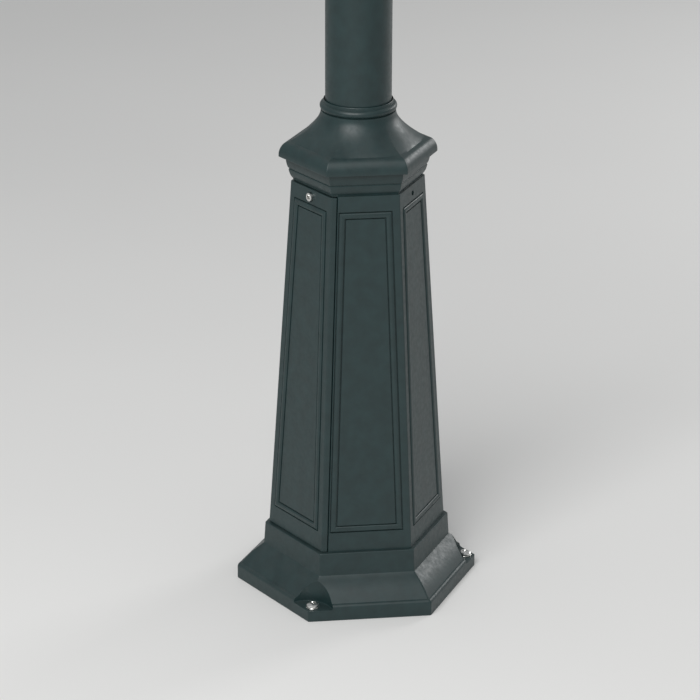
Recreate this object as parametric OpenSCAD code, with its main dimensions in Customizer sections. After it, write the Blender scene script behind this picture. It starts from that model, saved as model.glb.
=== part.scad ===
// Hexagonal street-post pedestal with access door, cornice collar and lower post section.
// Origin: centre of the foot's underside. +Z up. The access door faces -Y. Units: mm.

/* [Foot] */
// Foot width across its flats
foot_flats = 252; // [230:1:310]
// Height of the foot up to the ledge that the body stands on
foot_h = 73; // [66:1:92]
// Height of the foot's upright rim
rim_h = 15; // [12:1:19]
// Height of the upright band at the top of the foot
band_h = 28; // [22:1:34]
// How far the band's top edge stands proud of the body's flats
ledge_w = 4.2; // [3:0.2:8]
// How far the band leans out towards its bottom edge
band_lean = 1.5; // [0:0.5:4]
// Wall of the foot casting
foot_wall = 6; // [5:0.5:8]
// Thickness of the floor web that carries the gear plate
web_t = 6; // [4:0.5:9]

/* [Anchors] */
// From the foot's corner in to an anchor's axis
anchor_inset = 12.5; // [10:0.5:16]
// Thread of the anchors
anchor_d = 8; // [6:1:10]
// Clearance between an anchor and its hole, on the diameter
anchor_clearance = 1; // [0.6:0.1:2]
// Radius of the scooped anchor pockets
pocket_r = 31; // [28:0.5:34]
// Height of the pocket floor
pocket_floor = 14; // [11:0.5:15]

/* [Body] */
// Height of the body between foot and collar
body_h = 433; // [360:1:520]
// Body width across its flats at the bottom
body_bottom_flats = 184; // [175:1:200]
// Body width across its flats at the top
body_top_flats = 134.6; // [128:0.2:146]
// Wall of the body casting
body_wall = 5; // [4:0.5:7]
// Width of the raised bead round each panel
bead_w = 6.8; // [4:0.2:9]
// Height of the bead above the face
bead_h = 2; // [1:0.1:3]
// From a face's upright edge to the bead
bead_side = 9.7; // [8:0.1:14]
// From the face's top edge to the bead
bead_top = 19.5; // [17:0.5:30]
// From the face's bottom edge to the bead
bead_bottom = 25; // [15:0.5:45]

/* [Door] */
// How far the door wraps round the body's corner, along the next face
door_wrap = 5.7; // [3:0.1:8]
// Gap all round the door
door_gap = 1; // [0.6:0.1:1.6]
// Thickness of the door
door_t = 6; // [5:0.5:8]
// Thickness of the door gasket
gasket_t = 1.4; // [1:0.1:3]
// Width of the jamb that the gasket lies on
jamb_w = 14; // [12:0.5:18]
// Thickness of the jamb
jamb_t = 4; // [3:0.5:6]
// Thread of the door and face screws
cover_screw_d = 6; // [5:1:8]
// From the body's top edge down to those screws
cover_screw_drop = 10; // [9:0.5:14]
// How far the captive door screw backs out
screw_travel = 8; // [6:0.5:10]

/* [Collar] */
// Collar width across its flats at the lobe
lobe_flats = 159.4; // [150:0.2:175]
// Height from the collar's bottom to the lobe's lower edge
lobe_z = 30; // [28:1:38]
// Height of the lobe
lobe_h = 16; // [12:1:20]
// Height of the hollow flare from the lobe to the ring
flare_h = 36; // [28:1:48]
// Height of the round ring and lip on top
ring_h = 13; // [11:0.5:18]
// How far the ring stands out from the post
ring_reach = 6.2; // [5:0.2:8]
// Depth of the collar's socket inside the body
socket_depth = 36; // [30:1:50]

/* [Post] */
// Outer diameter of the post tube
post_d = 76; // [64:1:80]
// Wall of the post tube
post_wall = 3; // [2:0.5:5]
// How far the tube stands above the collar
post_reach = 190; // [150:5:300]
// How far the coupling spigot stands above the tube
spigot_reach = 50; // [35:1:80]
// How deep the coupling spigot sits in the tube
spigot_depth = 60; // [40:1:90]
// Wall of the coupling spigot
spigot_wall = 4; // [3:0.5:6]

/* [Gear] */
// Width of the gear plate
plate_w = 104; // [100:1:110]
// Height of the gear plate
plate_h = 250; // [240:1:300]
// Thickness of the gear plate
plate_t = 2; // [1.5:0.5:3]
// Height of the mounting rail above the floor web
rail_rise = 166; // [150:1:180]
// Width of one terminal block
terminal_w = 8; // [6:0.5:9]
// Number of terminal blocks
terminal_count = 4; // [2:1:4]
// Thread diameter of the cable gland
gland_d = 25; // [20:1:32]
// Bore of the cable gland
gland_bore = 14; // [8:1:16]

/* [Hidden] */
$fn = 64;

// A flat-to-flat width becomes a corner radius
function corner_r(flats) = flats / 2 / cos(30);
function mix(a, b, t) = a + (b - a) * t;

eps = 0.01;
fit = 0.05;
cast_colour = [0.16, 0.2, 0.19];
steel_colour = [0.75, 0.76, 0.78];
rubber_colour = [0.07, 0.07, 0.07];

// Foot
foot_r = corner_r(foot_flats);
band_z = foot_h - band_h;
band_top_r = corner_r(body_bottom_flats + 2 * ledge_w);
band_bottom_r = corner_r(body_bottom_flats + 2 * ledge_w + 2 * band_lean);
slope_steps = 6;
slope_bulge = 1.2;
rim_round = 5;
slope_start_r = foot_r - rim_round;
slope_start_z = rim_h + rim_round;
flange_t = 9;
boss_drop = 14;
boss_floor = 4;
web_z = foot_h - flange_t - web_t;
web_top = web_z + web_t;
anchor_angles = [60, 180, 300];
anchor_r = foot_r - anchor_inset;
anchor_hole_r = (anchor_d + anchor_clearance) / 2;
pocket_offset = 3.4;
pocket_centre_r = foot_r + pocket_offset;
washer_t = 1.6;

// Body
body_bottom_r = corner_r(body_bottom_flats);
body_top_r = corner_r(body_top_flats);
body_top_z = foot_h + body_h;
wall_r = corner_r(2 * body_wall);
lean = atan((body_bottom_flats - body_top_flats) / 2 / body_h);
slope_len = body_h / cos(lean);
body_screw_angles = [0, 60, 120, 180];
body_screw_d = 8;
body_screw_inset = 10.4;
body_screw_r = body_bottom_r - wall_r - body_screw_inset;
body_flange_t = 7;
// Corner radius of the six-sided way through both flanges
flange_in_r = body_screw_r - body_screw_d - 1;

// Door. Depths count inwards from the door's outer face
door_side = door_wrap * cos(60);
recess_depth = door_t + gasket_t + 0.1;
jamb_back = recess_depth + jamb_t;
gasket_inset = 3;
gasket_bottom = 14;
gasket_top = 2;
window_bottom = 24;
window_top = 38;
tongue_w = 60;
tongue_drop = 7;
tongue_t = 3;
tongue_depth = 2.5;
tongue_gap = 2;
tongue_room = 24;
tongue_groove = 16;
screw_v = (body_h - cover_screw_drop) / cos(lean);
screw_head_r = 0.83 * cover_screw_d;
screw_head_h = cover_screw_d;
counterbore = 3;
lug_gap = 0.5;
lug_len = screw_travel;
screw_tip = jamb_back + lug_gap + lug_len;
header_hole_r = cover_screw_d / 2 + 1.8;
lug_hole_r = cover_screw_d / 2 + 0.7;
retainer_t = 1.2;
retainer_r = cover_screw_d / 2 + 1.2;
retainer_depth = door_t + screw_travel + 0.2;
retainer_gap = 0.6;
door_angle = 270;
face_angles = [30, 150];
panel_angles = [30, 90, 150, 210, 330];

// Collar
collar_step = 2.15;
collar_bottom_r = corner_r(body_top_flats - 2 * collar_step);
lobe_r = corner_r(lobe_flats);
lobe_top_r = lobe_r - 11.6;
lobe_top_z = body_top_z + lobe_z + lobe_h;
flare_top_z = lobe_top_z + flare_h;
collar_top_z = flare_top_z + ring_h;
post_r = post_d / 2;
neck_r = post_r + 5;
ring_r = post_r + ring_reach;
lip_r = post_r + 2.2;
bead_r = 5.5;
flare_power = 1.9;
blend_power = 3;
flare_rings = 8;
flare_sides = 48;
hollow_inset = 6.2;
hollow_neck = 7;
hollow_top_inset = 12;
// The flare starts just under the lobe's top, a little inside its edge
flare_sink = 1;
flare_step = 0.6;
socket_r = post_r + 7;
socket_bottom = body_top_z - socket_depth;
post_bottom = socket_bottom + 4;
lug_w = 20;
lug_h = 20;
lug_root = 14;
set_screw_d = 8;
set_screw_len = 9;
set_screw_angles = [90, 210, 330];
set_screw_z = socket_bottom + 10;
seal_gap = 1.6;
seal_h = 6;
seal_recess = 1.5;
seal_seat = 9;

// Post
post_top_z = collar_top_z + post_reach;
spigot_gap = 1;
spigot_r = post_r - post_wall - spigot_gap;
spigot_bore_r = post_r - post_wall - spigot_wall;
spigot_chamfer = 2;
head_seat = 0.3;
spigot_screw_d = 5;
spigot_head_h = 2.6;
spigot_screw_z = [post_top_z - 15, post_top_z - 42];
spigot_screw_angles = [30, 150, 270];

// Gear. The plate's front face is at plate_y
plate_y = 12;
plate_flange = 22;
plate_lip = 10;
plate_screw_x = 30;
plate_screw_y = plate_y + 13;
rail_z = web_top + rail_rise;
rail_h = 35;
rail_depth = 7.5;
rail_back_h = 25;
rail_t = 1.2;
rail_len = 100;
rail_front = plate_y - rail_depth;
rail_screw_x = 46.2;
stop_w = 8;
breaker_w = 35.6;
breaker_h = 85;
breaker_depth = 44;
nose_h = 45;
nose_depth = 14;
row_gap = 0.4;
row_len = 2 * stop_w + breaker_w + terminal_count * (terminal_w + row_gap) + 2 * row_gap;
row_x = -row_len / 2;
breaker_x = row_x + stop_w + row_gap;
terminal_x = breaker_x + breaker_w + row_gap;
toggle_r = 6;
toggle_y = rail_front - breaker_depth - nose_depth + 5;
toggle_angle = 28;
terminal_h = 52;
terminal_depth = 42;
terminal_screw_z = [15, -15];
earth_x = 28;
earth_z = web_top + 76;
earth_d = 8;
gland_y = -36;
gland_r = gland_d / 2;
saddle_x = -12;
saddle_z = web_top + 70;
saddle_r = gland_bore / 2 + 1;
saddle_w = 14;
saddle_t = 1.5;
saddle_arm = 10;

// A solid turned from [corner radius, height] points, but six-sided
module hex_turned(points) {
    count = len(points);
    corners = [for (p = points, k = [0:5]) [p[0] * cos(60 * k), p[0] * sin(60 * k), p[1]]];
    sides = [for (i = [0:count - 2], k = [0:5]) let (n = (k + 1) % 6)
        [6 * i + k, 6 * i + 6 + k, 6 * i + 6 + n, 6 * i + n]];
    base = [for (k = [0:5]) k];
    top = [for (k = [5:-1:0]) 6 * (count - 1) + k];
    polyhedron(corners, concat([base], sides, [top]));
}

// Frame on a body face: x along the face, y up its slope, z out of it. angle is the face's normal
module on_face(angle) {
    rotate([0, 0, angle + 90])
        translate([0, -body_bottom_flats / 2, foot_h])
            rotate([90 - lean, 0, 0])
                children();
}

// Half the width of a face at the distance v up its slope
function face_half(v) = mix(body_bottom_r, body_top_r, v / slope_len) / 2;

// Face outline between two distances up the slope, with its sides moved in by inset
module face_outline(v0, v1, inset) {
    polygon([[-(face_half(v0) - inset), v0], [face_half(v0) - inset, v0],
        [face_half(v1) - inset, v1], [-(face_half(v1) - inset), v1]]);
}

// Raised picture-frame bead of one face, stepped in height
module panel_bead() {
    steps = [[0, 0.6], [1.2, 1]];
    for (s = steps)
        translate([0, 0, -0.5])
            linear_extrude(0.5 + bead_h * s[1])
                difference() {
                    face_outline(bead_bottom + s[0], slope_len - bead_top - s[0], bead_side + s[0]);
                    face_outline(bead_bottom + bead_w - s[0], slope_len - bead_top - bead_w + s[0],
                        bead_side + bead_w - s[0]);
                }
}

// Cylinder along a body face's normal, between two depths behind the face
module face_bore(r, depth0, depth1) {
    translate([0, screw_v, -depth1])
        cylinder(h = depth1 - depth0, r = r);
}

// Socket-head screw along +Z with its head's underside at z = 0
module cap_screw(d, len, head_r, head_h) {
    difference() {
        union() {
            cylinder(h = head_h, r = head_r);
            translate([0, 0, -len])
                cylinder(h = len + eps, r = d / 2);
        }
        translate([0, 0, head_h * 0.45])
            cylinder(h = head_h, r = d * 0.48, $fn = 6);
    }
}

// Low round-head screw along +Z with a cross slot
module pan_screw(d, len) {
    head_r = 0.9 * d;
    head_h = 0.6 * d;
    dome_r = 1.6 * d;
    difference() {
        union() {
            intersection() {
                cylinder(h = head_h, r = head_r);
                translate([0, 0, head_h - dome_r])
                    sphere(r = dome_r);
            }
            translate([0, 0, -len])
                cylinder(h = len + eps, r = d / 2);
        }
        for (turn = [0, 90])
            rotate([0, 0, turn])
                translate([-0.7 * d, -0.1 * d, 0.3 * d])
                    cube([1.4 * d, 0.2 * d, d]);
    }
}

// Hexagon nut on z = 0
module hex_nut(d, flats, h) {
    difference() {
        cylinder(h = h, r = corner_r(flats), $fn = 6);
        translate([0, 0, -1])
            cylinder(h = h + 2, r = d / 2 + fit);
    }
}

// Flat washer on z = 0
module washer(d, outer_r, h) {
    difference() {
        cylinder(h = h, r = outer_r);
        translate([0, 0, -1])
            cylinder(h = h + 2, r = d / 2 + 0.2);
    }
}

// Places that repeat round the axis, at one radius
module around(angles, r) {
    for (a = angles)
        rotate([0, 0, a])
            translate([r, 0, 0])
                children();
}

// Outside of the foot: rim, rounded shoulder, swelling slope and band
foot_profile = concat(
    [[foot_r, 0]],
    [for (a = [0:30:90]) [foot_r - rim_round * (1 - cos(a)), rim_h + rim_round * sin(a)]],
    [for (i = [1:slope_steps]) let (t = i / slope_steps)
        [mix(slope_start_r, band_bottom_r, t) + slope_bulge * sin(180 * t),
            mix(slope_start_z, band_z, t) + slope_bulge * sin(180 * t)]],
    [[band_top_r, foot_h]]);

module foot_cavity() {
    hex_turned([[foot_r - foot_wall, -1], [foot_r - foot_wall, rim_h - 4],
        [band_bottom_r - foot_wall, band_z - foot_wall + 2], [band_top_r - foot_wall - 1, web_z]]);
}

module foot_casting() {
    color(cast_colour)
    difference() {
        union() {
            difference() {
                hex_turned(foot_profile);
                foot_cavity();
                // Way down from the body onto the web
                translate([0, 0, web_top])
                    cylinder(h = flange_t + 1, r = flange_in_r, $fn = 6);
            }
            intersection() {
                hex_turned(foot_profile);
                union() {
                    // Pads and walls round the anchor pockets
                    around(anchor_angles, pocket_centre_r)
                        cylinder(h = web_z + 1, r = pocket_r + foot_wall);
                    // Bosses under the body's screws
                    around(body_screw_angles, body_screw_r)
                        translate([0, 0, web_z - boss_drop])
                            cylinder(h = boss_drop + 1, r = body_screw_d);
                }
            }
        }
        around(anchor_angles, pocket_centre_r)
            translate([0, 0, pocket_floor])
                cylinder(h = foot_h, r = pocket_r);
        around(anchor_angles, anchor_r)
            translate([0, 0, -1])
                cylinder(h = pocket_floor + 2, r = anchor_hole_r);
        around(body_screw_angles, body_screw_r)
            translate([0, 0, web_z - boss_drop + boss_floor])
                cylinder(h = foot_h, r = body_screw_d / 2 + fit);
        // Groove for the door's tongue
        translate([-tongue_w / 2 - tongue_gap, -body_bottom_flats / 2 + tongue_depth - 1,
            foot_h - tongue_drop - 1])
            cube([tongue_w + 2 * tongue_gap, tongue_groove, tongue_drop + 2]);
        for (x = [-plate_screw_x, plate_screw_x])
            translate([x, plate_screw_y, web_z - 1])
                cylinder(h = web_t + 2, r = 3 + fit);
        translate([0, gland_y, web_z - 1])
            cylinder(h = web_t + 2, r = gland_r + fit);
    }
}

// Tapered six-sided block with the body's outside
module body_block() {
    hex_turned([[body_bottom_r, foot_h], [body_top_r, body_top_z]]);
}

// Everything in front of a plane parallel to the door, depth behind its face, side wider each side
module door_zone(depth, side, v0, v1) {
    on_face(door_angle)
        translate([0, 0, -depth])
            linear_extrude(depth + 20)
                face_outline(v0, v1, -side);
}

module body_casting() {
    color(cast_colour)
    difference() {
        union() {
            difference() {
                body_block();
                difference() {
                    hex_turned([[body_bottom_r - wall_r, foot_h - eps],
                        [body_top_r - wall_r, body_top_z + eps]]);
                    // Bottom flange and jamb stay
                    translate([0, 0, foot_h - 1])
                        cylinder(h = body_flange_t + 1, r = body_bottom_r, $fn = 6);
                    on_face(door_angle)
                        translate([-foot_flats / 2, -10, -jamb_back])
                            cube([foot_flats, 2 * body_h, jamb_t]);
                }
                translate([0, 0, foot_h - 1])
                    cylinder(h = body_flange_t + 2, r = flange_in_r, $fn = 6);
            }
            for (a = panel_angles)
                on_face(a)
                    panel_bead();
            // Bosses behind the face screws
            for (a = face_angles)
                on_face(a)
                    face_bore(7, body_wall - 1, jamb_back);
        }
        // Recess that the door closes, then the window through the jamb
        door_zone(recess_depth, door_side + door_gap, -5, slope_len + 5);
        on_face(door_angle)
            translate([0, 0, -jamb_back - 10])
                linear_extrude(jamb_back + 20)
                    face_outline(window_bottom, slope_len - window_top, jamb_w);
        on_face(door_angle)
            face_bore(header_hole_r, 0, jamb_back + 1);
        for (a = face_angles) {
            on_face(a)
                face_bore(cover_screw_d / 2 + fit, -1, jamb_back + 1);
            on_face(a)
                face_bore(screw_head_r + 0.3, -1, counterbore);
        }
        around(body_screw_angles, body_screw_r)
            translate([0, 0, foot_h - 1])
                cylinder(h = body_flange_t + 2, r = body_screw_d / 2 + 0.5);
        // Room for the door's tongue to swing in
        translate([-tongue_w / 2 - tongue_gap, -body_bottom_flats / 2 - 1, foot_h - 1])
            cube([tongue_w + 2 * tongue_gap, tongue_room, body_flange_t + 3]);
    }
}

module access_door() {
    color(cast_colour)
    difference() {
        union() {
            intersection() {
                body_block();
                door_zone(door_t, door_side, door_gap, slope_len - door_gap);
            }
            on_face(door_angle)
                panel_bead();
            // Tongue that hooks behind the foot's ledge
            translate([-tongue_w / 2, -body_bottom_flats / 2 + tongue_depth, foot_h - tongue_drop])
                cube([tongue_w, tongue_t, tongue_drop + 12]);
        }
        // Lightened back
        on_face(door_angle)
            translate([0, 0, -door_t - 1])
                linear_extrude(3)
                    face_outline(window_bottom, slope_len - window_top, jamb_w);
        on_face(door_angle)
            face_bore(cover_screw_d / 2 + 0.3, -1, door_t + 1);
        on_face(door_angle)
            face_bore(screw_head_r + 0.3, -1, counterbore);
    }
}

module door_gasket() {
    color(rubber_colour)
    on_face(door_angle)
        translate([0, 0, -recess_depth])
            linear_extrude(gasket_t)
                difference() {
                    face_outline(gasket_bottom, slope_len - gasket_top, gasket_inset);
                    face_outline(window_bottom, slope_len - window_top, jamb_w);
                    translate([0, screw_v])
                        circle(r = header_hole_r);
                }
}

module door_screw() {
    color(steel_colour)
    on_face(door_angle)
        translate([0, screw_v, -counterbore])
            cap_screw(cover_screw_d, screw_tip - counterbore, screw_head_r, screw_head_h);
}

module screw_retainer() {
    color(steel_colour)
    on_face(door_angle)
        difference() {
            face_bore(retainer_r, retainer_depth, retainer_depth + retainer_t);
            face_bore(cover_screw_d / 2 + fit, retainer_depth - 1, retainer_depth + retainer_t + 1);
        }
}

module face_screws() {
    color(cast_colour)
    for (a = face_angles)
        on_face(a)
            translate([0, screw_v, -counterbore])
                cap_screw(cover_screw_d, screw_tip - counterbore, screw_head_r, counterbore - 0.4);
}

// Collar profile from the fillet at the bottom, over two mouldings, to the top of the lobe
module collar_mouldings() {
    z = body_top_z;
    hex_turned([
        [collar_bottom_r, z], [collar_bottom_r + 0.2, z + 1.6], [collar_bottom_r + 1, z + 2.8],
        [collar_bottom_r + 2.5, z + 6.4], [collar_bottom_r + 4.2, z + 12.6],
        [collar_bottom_r + 3.4, z + 13.8], [collar_bottom_r + 4.7, z + 15],
        [collar_bottom_r + 6.6, z + 0.68 * lobe_z], [collar_bottom_r + 7.5, z + lobe_z - 2.6],
        [lobe_r - 0.8, z + lobe_z - 1.8], [lobe_r, z + lobe_z], [lobe_r - 0.3, z + lobe_z + 0.25 * lobe_h],
        [lobe_r - 1.6, z + lobe_z + 0.5 * lobe_h], [lobe_r - 4.2, z + lobe_z + 0.75 * lobe_h],
        [lobe_r - 7.4, z + lobe_z + 0.92 * lobe_h], [lobe_top_r, lobe_top_z]]);
}

// Radius of a section that turns from a hexagon into a circle as blend goes from 0 to 1
function blend_r(a, r, blend) =
    let (side = abs(a - 60 * floor(a / 60) - 30))
    r * mix(cos(30) / cos(side), 1, blend);

// Bell that rises from the lobe's six edges and soon turns round
module collar_flare() {
    count = flare_sides;
    bottom_z = lobe_top_z - flare_sink;
    corners = [for (i = [0:flare_rings], k = [0:count - 1])
        let (t = i / flare_rings, a = 360 * k / count,
            r = mix(neck_r, lobe_top_r + flare_step, pow(1 - t, flare_power)),
            d = blend_r(a, r, 1 - pow(1 - t, blend_power)))
        [d * cos(a), d * sin(a), mix(bottom_z, flare_top_z, t)]];
    sides = [for (i = [0:flare_rings - 1], k = [0:count - 1]) let (n = (k + 1) % count)
        each [[count * i + k, count * i + count + k, count * i + n],
            [count * i + n, count * i + count + k, count * i + count + n]]];
    base = [for (k = [0:count - 1]) k];
    top = [for (k = [count - 1:-1:0]) count * flare_rings + k];
    polyhedron(corners, concat([base], sides, [top]));
}

module cornice_collar() {
    color(cast_colour)
    difference() {
        union() {
            collar_mouldings();
            collar_flare();
            // Round ring and lip
            translate([0, 0, flare_top_z - 1])
                cylinder(h = ring_h + 1, r = lip_r);
            translate([0, 0, flare_top_z + bead_r])
                rotate_extrude()
                    intersection() {
                        translate([ring_r - bead_r, 0])
                            circle(r = bead_r);
                        translate([0, -bead_r])
                            square([ring_r, 2 * bead_r]);
                    }
            // Socket that holds the post inside the body
            translate([0, 0, socket_bottom])
                cylinder(h = socket_depth + 2, r = socket_r);
            // Lugs for the door and face screws
            for (a = concat([door_angle], face_angles))
                on_face(a)
                    translate([-lug_w / 2, screw_v - lug_h / 2, -jamb_back - lug_gap - lug_len - lug_root])
                        cube([lug_w, lug_h, lug_len + lug_root]);
        }
        // Hollow between the socket and the outside
        difference() {
            hex_turned([[collar_bottom_r - hollow_inset, body_top_z - 1],
                [collar_bottom_r - hollow_inset, body_top_z + lobe_z],
                [lobe_top_r - hollow_top_inset, lobe_top_z - 2],
                [neck_r + hollow_neck, lobe_top_z + 0.35 * flare_h]]);
            cylinder(h = collar_top_z, r = socket_r);
            for (a = concat([door_angle], face_angles))
                rotate([0, 0, a])
                    translate([socket_r - 2, -lug_w / 2, socket_bottom])
                        cube([12, lug_w, socket_depth + 8]);
        }
        // Post's way in, with a shoulder under its end
        translate([0, 0, post_bottom])
            cylinder(h = collar_top_z, r = post_r + fit);
        translate([0, 0, socket_bottom - 1])
            cylinder(h = 10, r = post_r - post_wall - 1);
        translate([0, 0, collar_top_z - seal_seat])
            cylinder(h = seal_seat + 1, r = post_r + seal_gap);
        for (a = concat([door_angle], face_angles))
            on_face(a)
                face_bore(a == door_angle ? lug_hole_r : cover_screw_d / 2 + fit, jamb_back, screw_tip + 2);
        // Room for the retainer
        on_face(door_angle)
            face_bore(retainer_r + retainer_gap, jamb_back, retainer_depth + retainer_t + retainer_gap);
        for (a = set_screw_angles)
            rotate([0, 0, a])
                translate([post_r - 1, 0, set_screw_z])
                    rotate([0, 90, 0])
                        cylinder(h = set_screw_len + 3, r = set_screw_d / 2 + fit);
    }
}

module socket_set_screws() {
    color(steel_colour)
    for (a = set_screw_angles)
        rotate([0, 0, a])
            translate([post_r + 0.1, 0, set_screw_z])
                rotate([0, 90, 0])
                    difference() {
                        cylinder(h = set_screw_len, r = set_screw_d / 2);
                        translate([0, 0, 0.55 * set_screw_len])
                            cylinder(h = set_screw_len, r = 0.29 * set_screw_d, $fn = 6);
                    }
}

module post_tube() {
    color(cast_colour)
    difference() {
        translate([0, 0, post_bottom])
            cylinder(h = post_top_z - post_bottom, r = post_r);
        translate([0, 0, post_bottom - 1])
            cylinder(h = post_top_z - post_bottom + 2, r = post_r - post_wall);
        spigot_holes();
    }
}

// Holes for the coupling screws
module spigot_holes() {
    for (z = spigot_screw_z, a = spigot_screw_angles)
        rotate([0, 0, a])
            translate([spigot_bore_r - 3, 0, z])
                rotate([0, 90, 0])
                    cylinder(h = post_wall + spigot_wall + 6, r = spigot_screw_d / 2 + fit);
}

module post_seal() {
    color(rubber_colour)
    translate([0, 0, collar_top_z - seal_recess - seal_h])
        difference() {
            cylinder(h = seal_h, r = post_r + seal_gap - fit);
            translate([0, 0, -1])
                cylinder(h = seal_h + 2, r = post_r + fit);
        }
}

module top_spigot() {
    color(steel_colour)
    difference() {
        union() {
            translate([0, 0, post_top_z - spigot_depth])
                cylinder(h = spigot_depth, r = post_r - post_wall - fit);
            translate([0, 0, post_top_z - 1])
                cylinder(h = spigot_reach + 1 - spigot_chamfer, r = spigot_r);
            translate([0, 0, post_top_z + spigot_reach - spigot_chamfer])
                cylinder(h = spigot_chamfer, r1 = spigot_r, r2 = spigot_r - spigot_chamfer);
        }
        translate([0, 0, post_top_z - spigot_depth - 1])
            cylinder(h = spigot_depth + spigot_reach + 2, r = spigot_bore_r);
        spigot_holes();
    }
}

module spigot_screws() {
    color(cast_colour)
    for (z = spigot_screw_z, a = spigot_screw_angles)
        rotate([0, 0, a])
            translate([post_r + head_seat, 0, z])
                rotate([0, 90, 0])
                    cap_screw(spigot_screw_d, post_wall + spigot_wall, spigot_screw_d, spigot_head_h);
}

module body_screws() {
    color(steel_colour)
    around(body_screw_angles, body_screw_r)
        translate([0, 0, foot_h + body_flange_t + washer_t])
            cap_screw(body_screw_d, body_flange_t + flange_t + web_t, body_screw_d * 0.8, body_screw_d);
}

module body_screw_washers() {
    color(steel_colour)
    around(body_screw_angles, body_screw_r)
        translate([0, 0, foot_h + body_flange_t])
            washer(body_screw_d, body_screw_d, washer_t);
}

module anchor_screws() {
    color(steel_colour)
    around(anchor_angles, anchor_r)
        translate([0, 0, pocket_floor + washer_t])
            pan_screw(anchor_d, pocket_floor + washer_t);
}

module anchor_washers() {
    color(steel_colour)
    around(anchor_angles, anchor_r)
        translate([0, 0, pocket_floor])
            washer(anchor_d, anchor_d, washer_t);
}

// Upright plate with side lips and a foot flange bent to the rear
module gear_plate() {
    color([0.8, 0.81, 0.8])
    difference() {
        union() {
            translate([-plate_w / 2, plate_y, web_top])
                cube([plate_w, plate_t, plate_h]);
            translate([-plate_w / 2, plate_y, web_top])
                cube([plate_w, plate_flange, plate_t]);
            for (x = [-plate_w / 2, plate_w / 2 - plate_t])
                translate([x, plate_y, web_top])
                    cube([plate_t, plate_lip, plate_h]);
        }
        for (x = [-plate_screw_x, plate_screw_x])
            translate([x, plate_screw_y, web_top - 1])
                cylinder(h = plate_t + 2, r = 3.3);
        for (x = [-rail_screw_x, rail_screw_x])
            plate_hole(x, rail_z, 2 + fit);
        plate_hole(earth_x, earth_z, earth_d / 2 + fit);
        for (side = [-1, 1])
            plate_hole(saddle_x + side * (saddle_r + saddle_arm / 2 + 1), saddle_z, 2 + fit);
    }
}

// Hole through the gear plate, along Y
module plate_hole(x, z, r) {
    translate([x, plate_y - 20, z])
        rotate([-90, 0, 0])
            cylinder(h = 40, r = r);
}

module gear_plate_screws() {
    color(steel_colour)
    for (x = [-plate_screw_x, plate_screw_x])
        translate([x, plate_screw_y, web_top + plate_t])
            pan_screw(6, plate_t + web_t + 2);
}

module din_rail() {
    color(steel_colour)
    difference() {
        translate([-rail_len / 2, plate_y, rail_z])
            rotate([90, 0, 90])
                linear_extrude(rail_len)
                    rail_section();
        for (x = [-rail_screw_x, rail_screw_x])
            plate_hole(x, rail_z, 2 + fit);
    }
}

// Top-hat section: x away from the plate is negative, y up
module rail_section() {
    translate([-rail_t, -rail_back_h / 2])
        square([rail_t, rail_back_h]);
    for (side = [0, 1])
        mirror([0, side]) {
            translate([-rail_depth, rail_back_h / 2 - rail_t])
                square([rail_depth, rail_t]);
            translate([-rail_depth, rail_back_h / 2 - rail_t])
                square([rail_t, (rail_h - rail_back_h) / 2 + rail_t]);
        }
}

module rail_screws() {
    color(steel_colour)
    for (x = [-rail_screw_x, rail_screw_x])
        translate([x, plate_y - rail_t, rail_z])
            rotate([90, 0, 0])
                pan_screw(4, plate_t + rail_t + 3);
}

// A block that snaps on the rail: its back is cut to straddle the rail's flanges
module rail_block(x, w, h, depth) {
    difference() {
        translate([x, rail_front - depth, rail_z - h / 2])
            cube([w, depth + 3, h]);
        translate([x - 1, rail_front - fit, rail_z - rail_h / 2 - fit])
            cube([w + 2, depth, rail_h + 2 * fit]);
    }
}

module rail_end_stops() {
    color([0.55, 0.56, 0.57])
    for (x = [row_x, row_x + row_len - stop_w])
        difference() {
            rail_block(x, stop_w, 44, 24);
            translate([x + stop_w / 2, rail_front - 25, rail_z + 10])
                rotate([-90, 0, 0])
                    cylinder(h = 10, r = 2);
        }
}

module circuit_breaker() {
    color([0.86, 0.86, 0.84])
    difference() {
        union() {
            rail_block(breaker_x, breaker_w, breaker_h, breaker_depth);
            translate([breaker_x, rail_front - breaker_depth - nose_depth, rail_z - nose_h / 2])
                cube([breaker_w, nose_depth + eps, nose_h]);
        }
        // Slot that the toggle turns in
        translate([breaker_x + 4, toggle_y, rail_z])
            rotate([0, 90, 0])
                cylinder(h = breaker_w - 8, r = toggle_r + 0.5);
        translate([breaker_x + 4, toggle_y - toggle_r, rail_z - toggle_r - 1.5])
            cube([breaker_w - 8, toggle_r, 2 * toggle_r + 3]);
        // Wire ways above and below, and the holes over their screws
        for (pole = [0.25, 0.75], side = [-1, 1]) {
            translate([breaker_x + pole * breaker_w, rail_front - breaker_depth * 0.55,
                rail_z + side * (breaker_h / 2 - 6)])
                cylinder(h = 14, r = 4, center = true);
            translate([breaker_x + pole * breaker_w, rail_front - breaker_depth - 1,
                rail_z + side * (breaker_h / 2 - 8)])
                rotate([-90, 0, 0])
                    cylinder(h = 12, r = 3);
        }
    }
}

module breaker_toggle() {
    color([0.12, 0.12, 0.13])
    translate([breaker_x + 4.3, toggle_y, rail_z])
        rotate([-toggle_angle, 0, 0]) {
            rotate([0, 90, 0])
                cylinder(h = breaker_w - 8.6, r = toggle_r);
            translate([0, -toggle_r - 7, -2.5])
                cube([breaker_w - 8.6, 10, 5]);
        }
}

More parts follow.
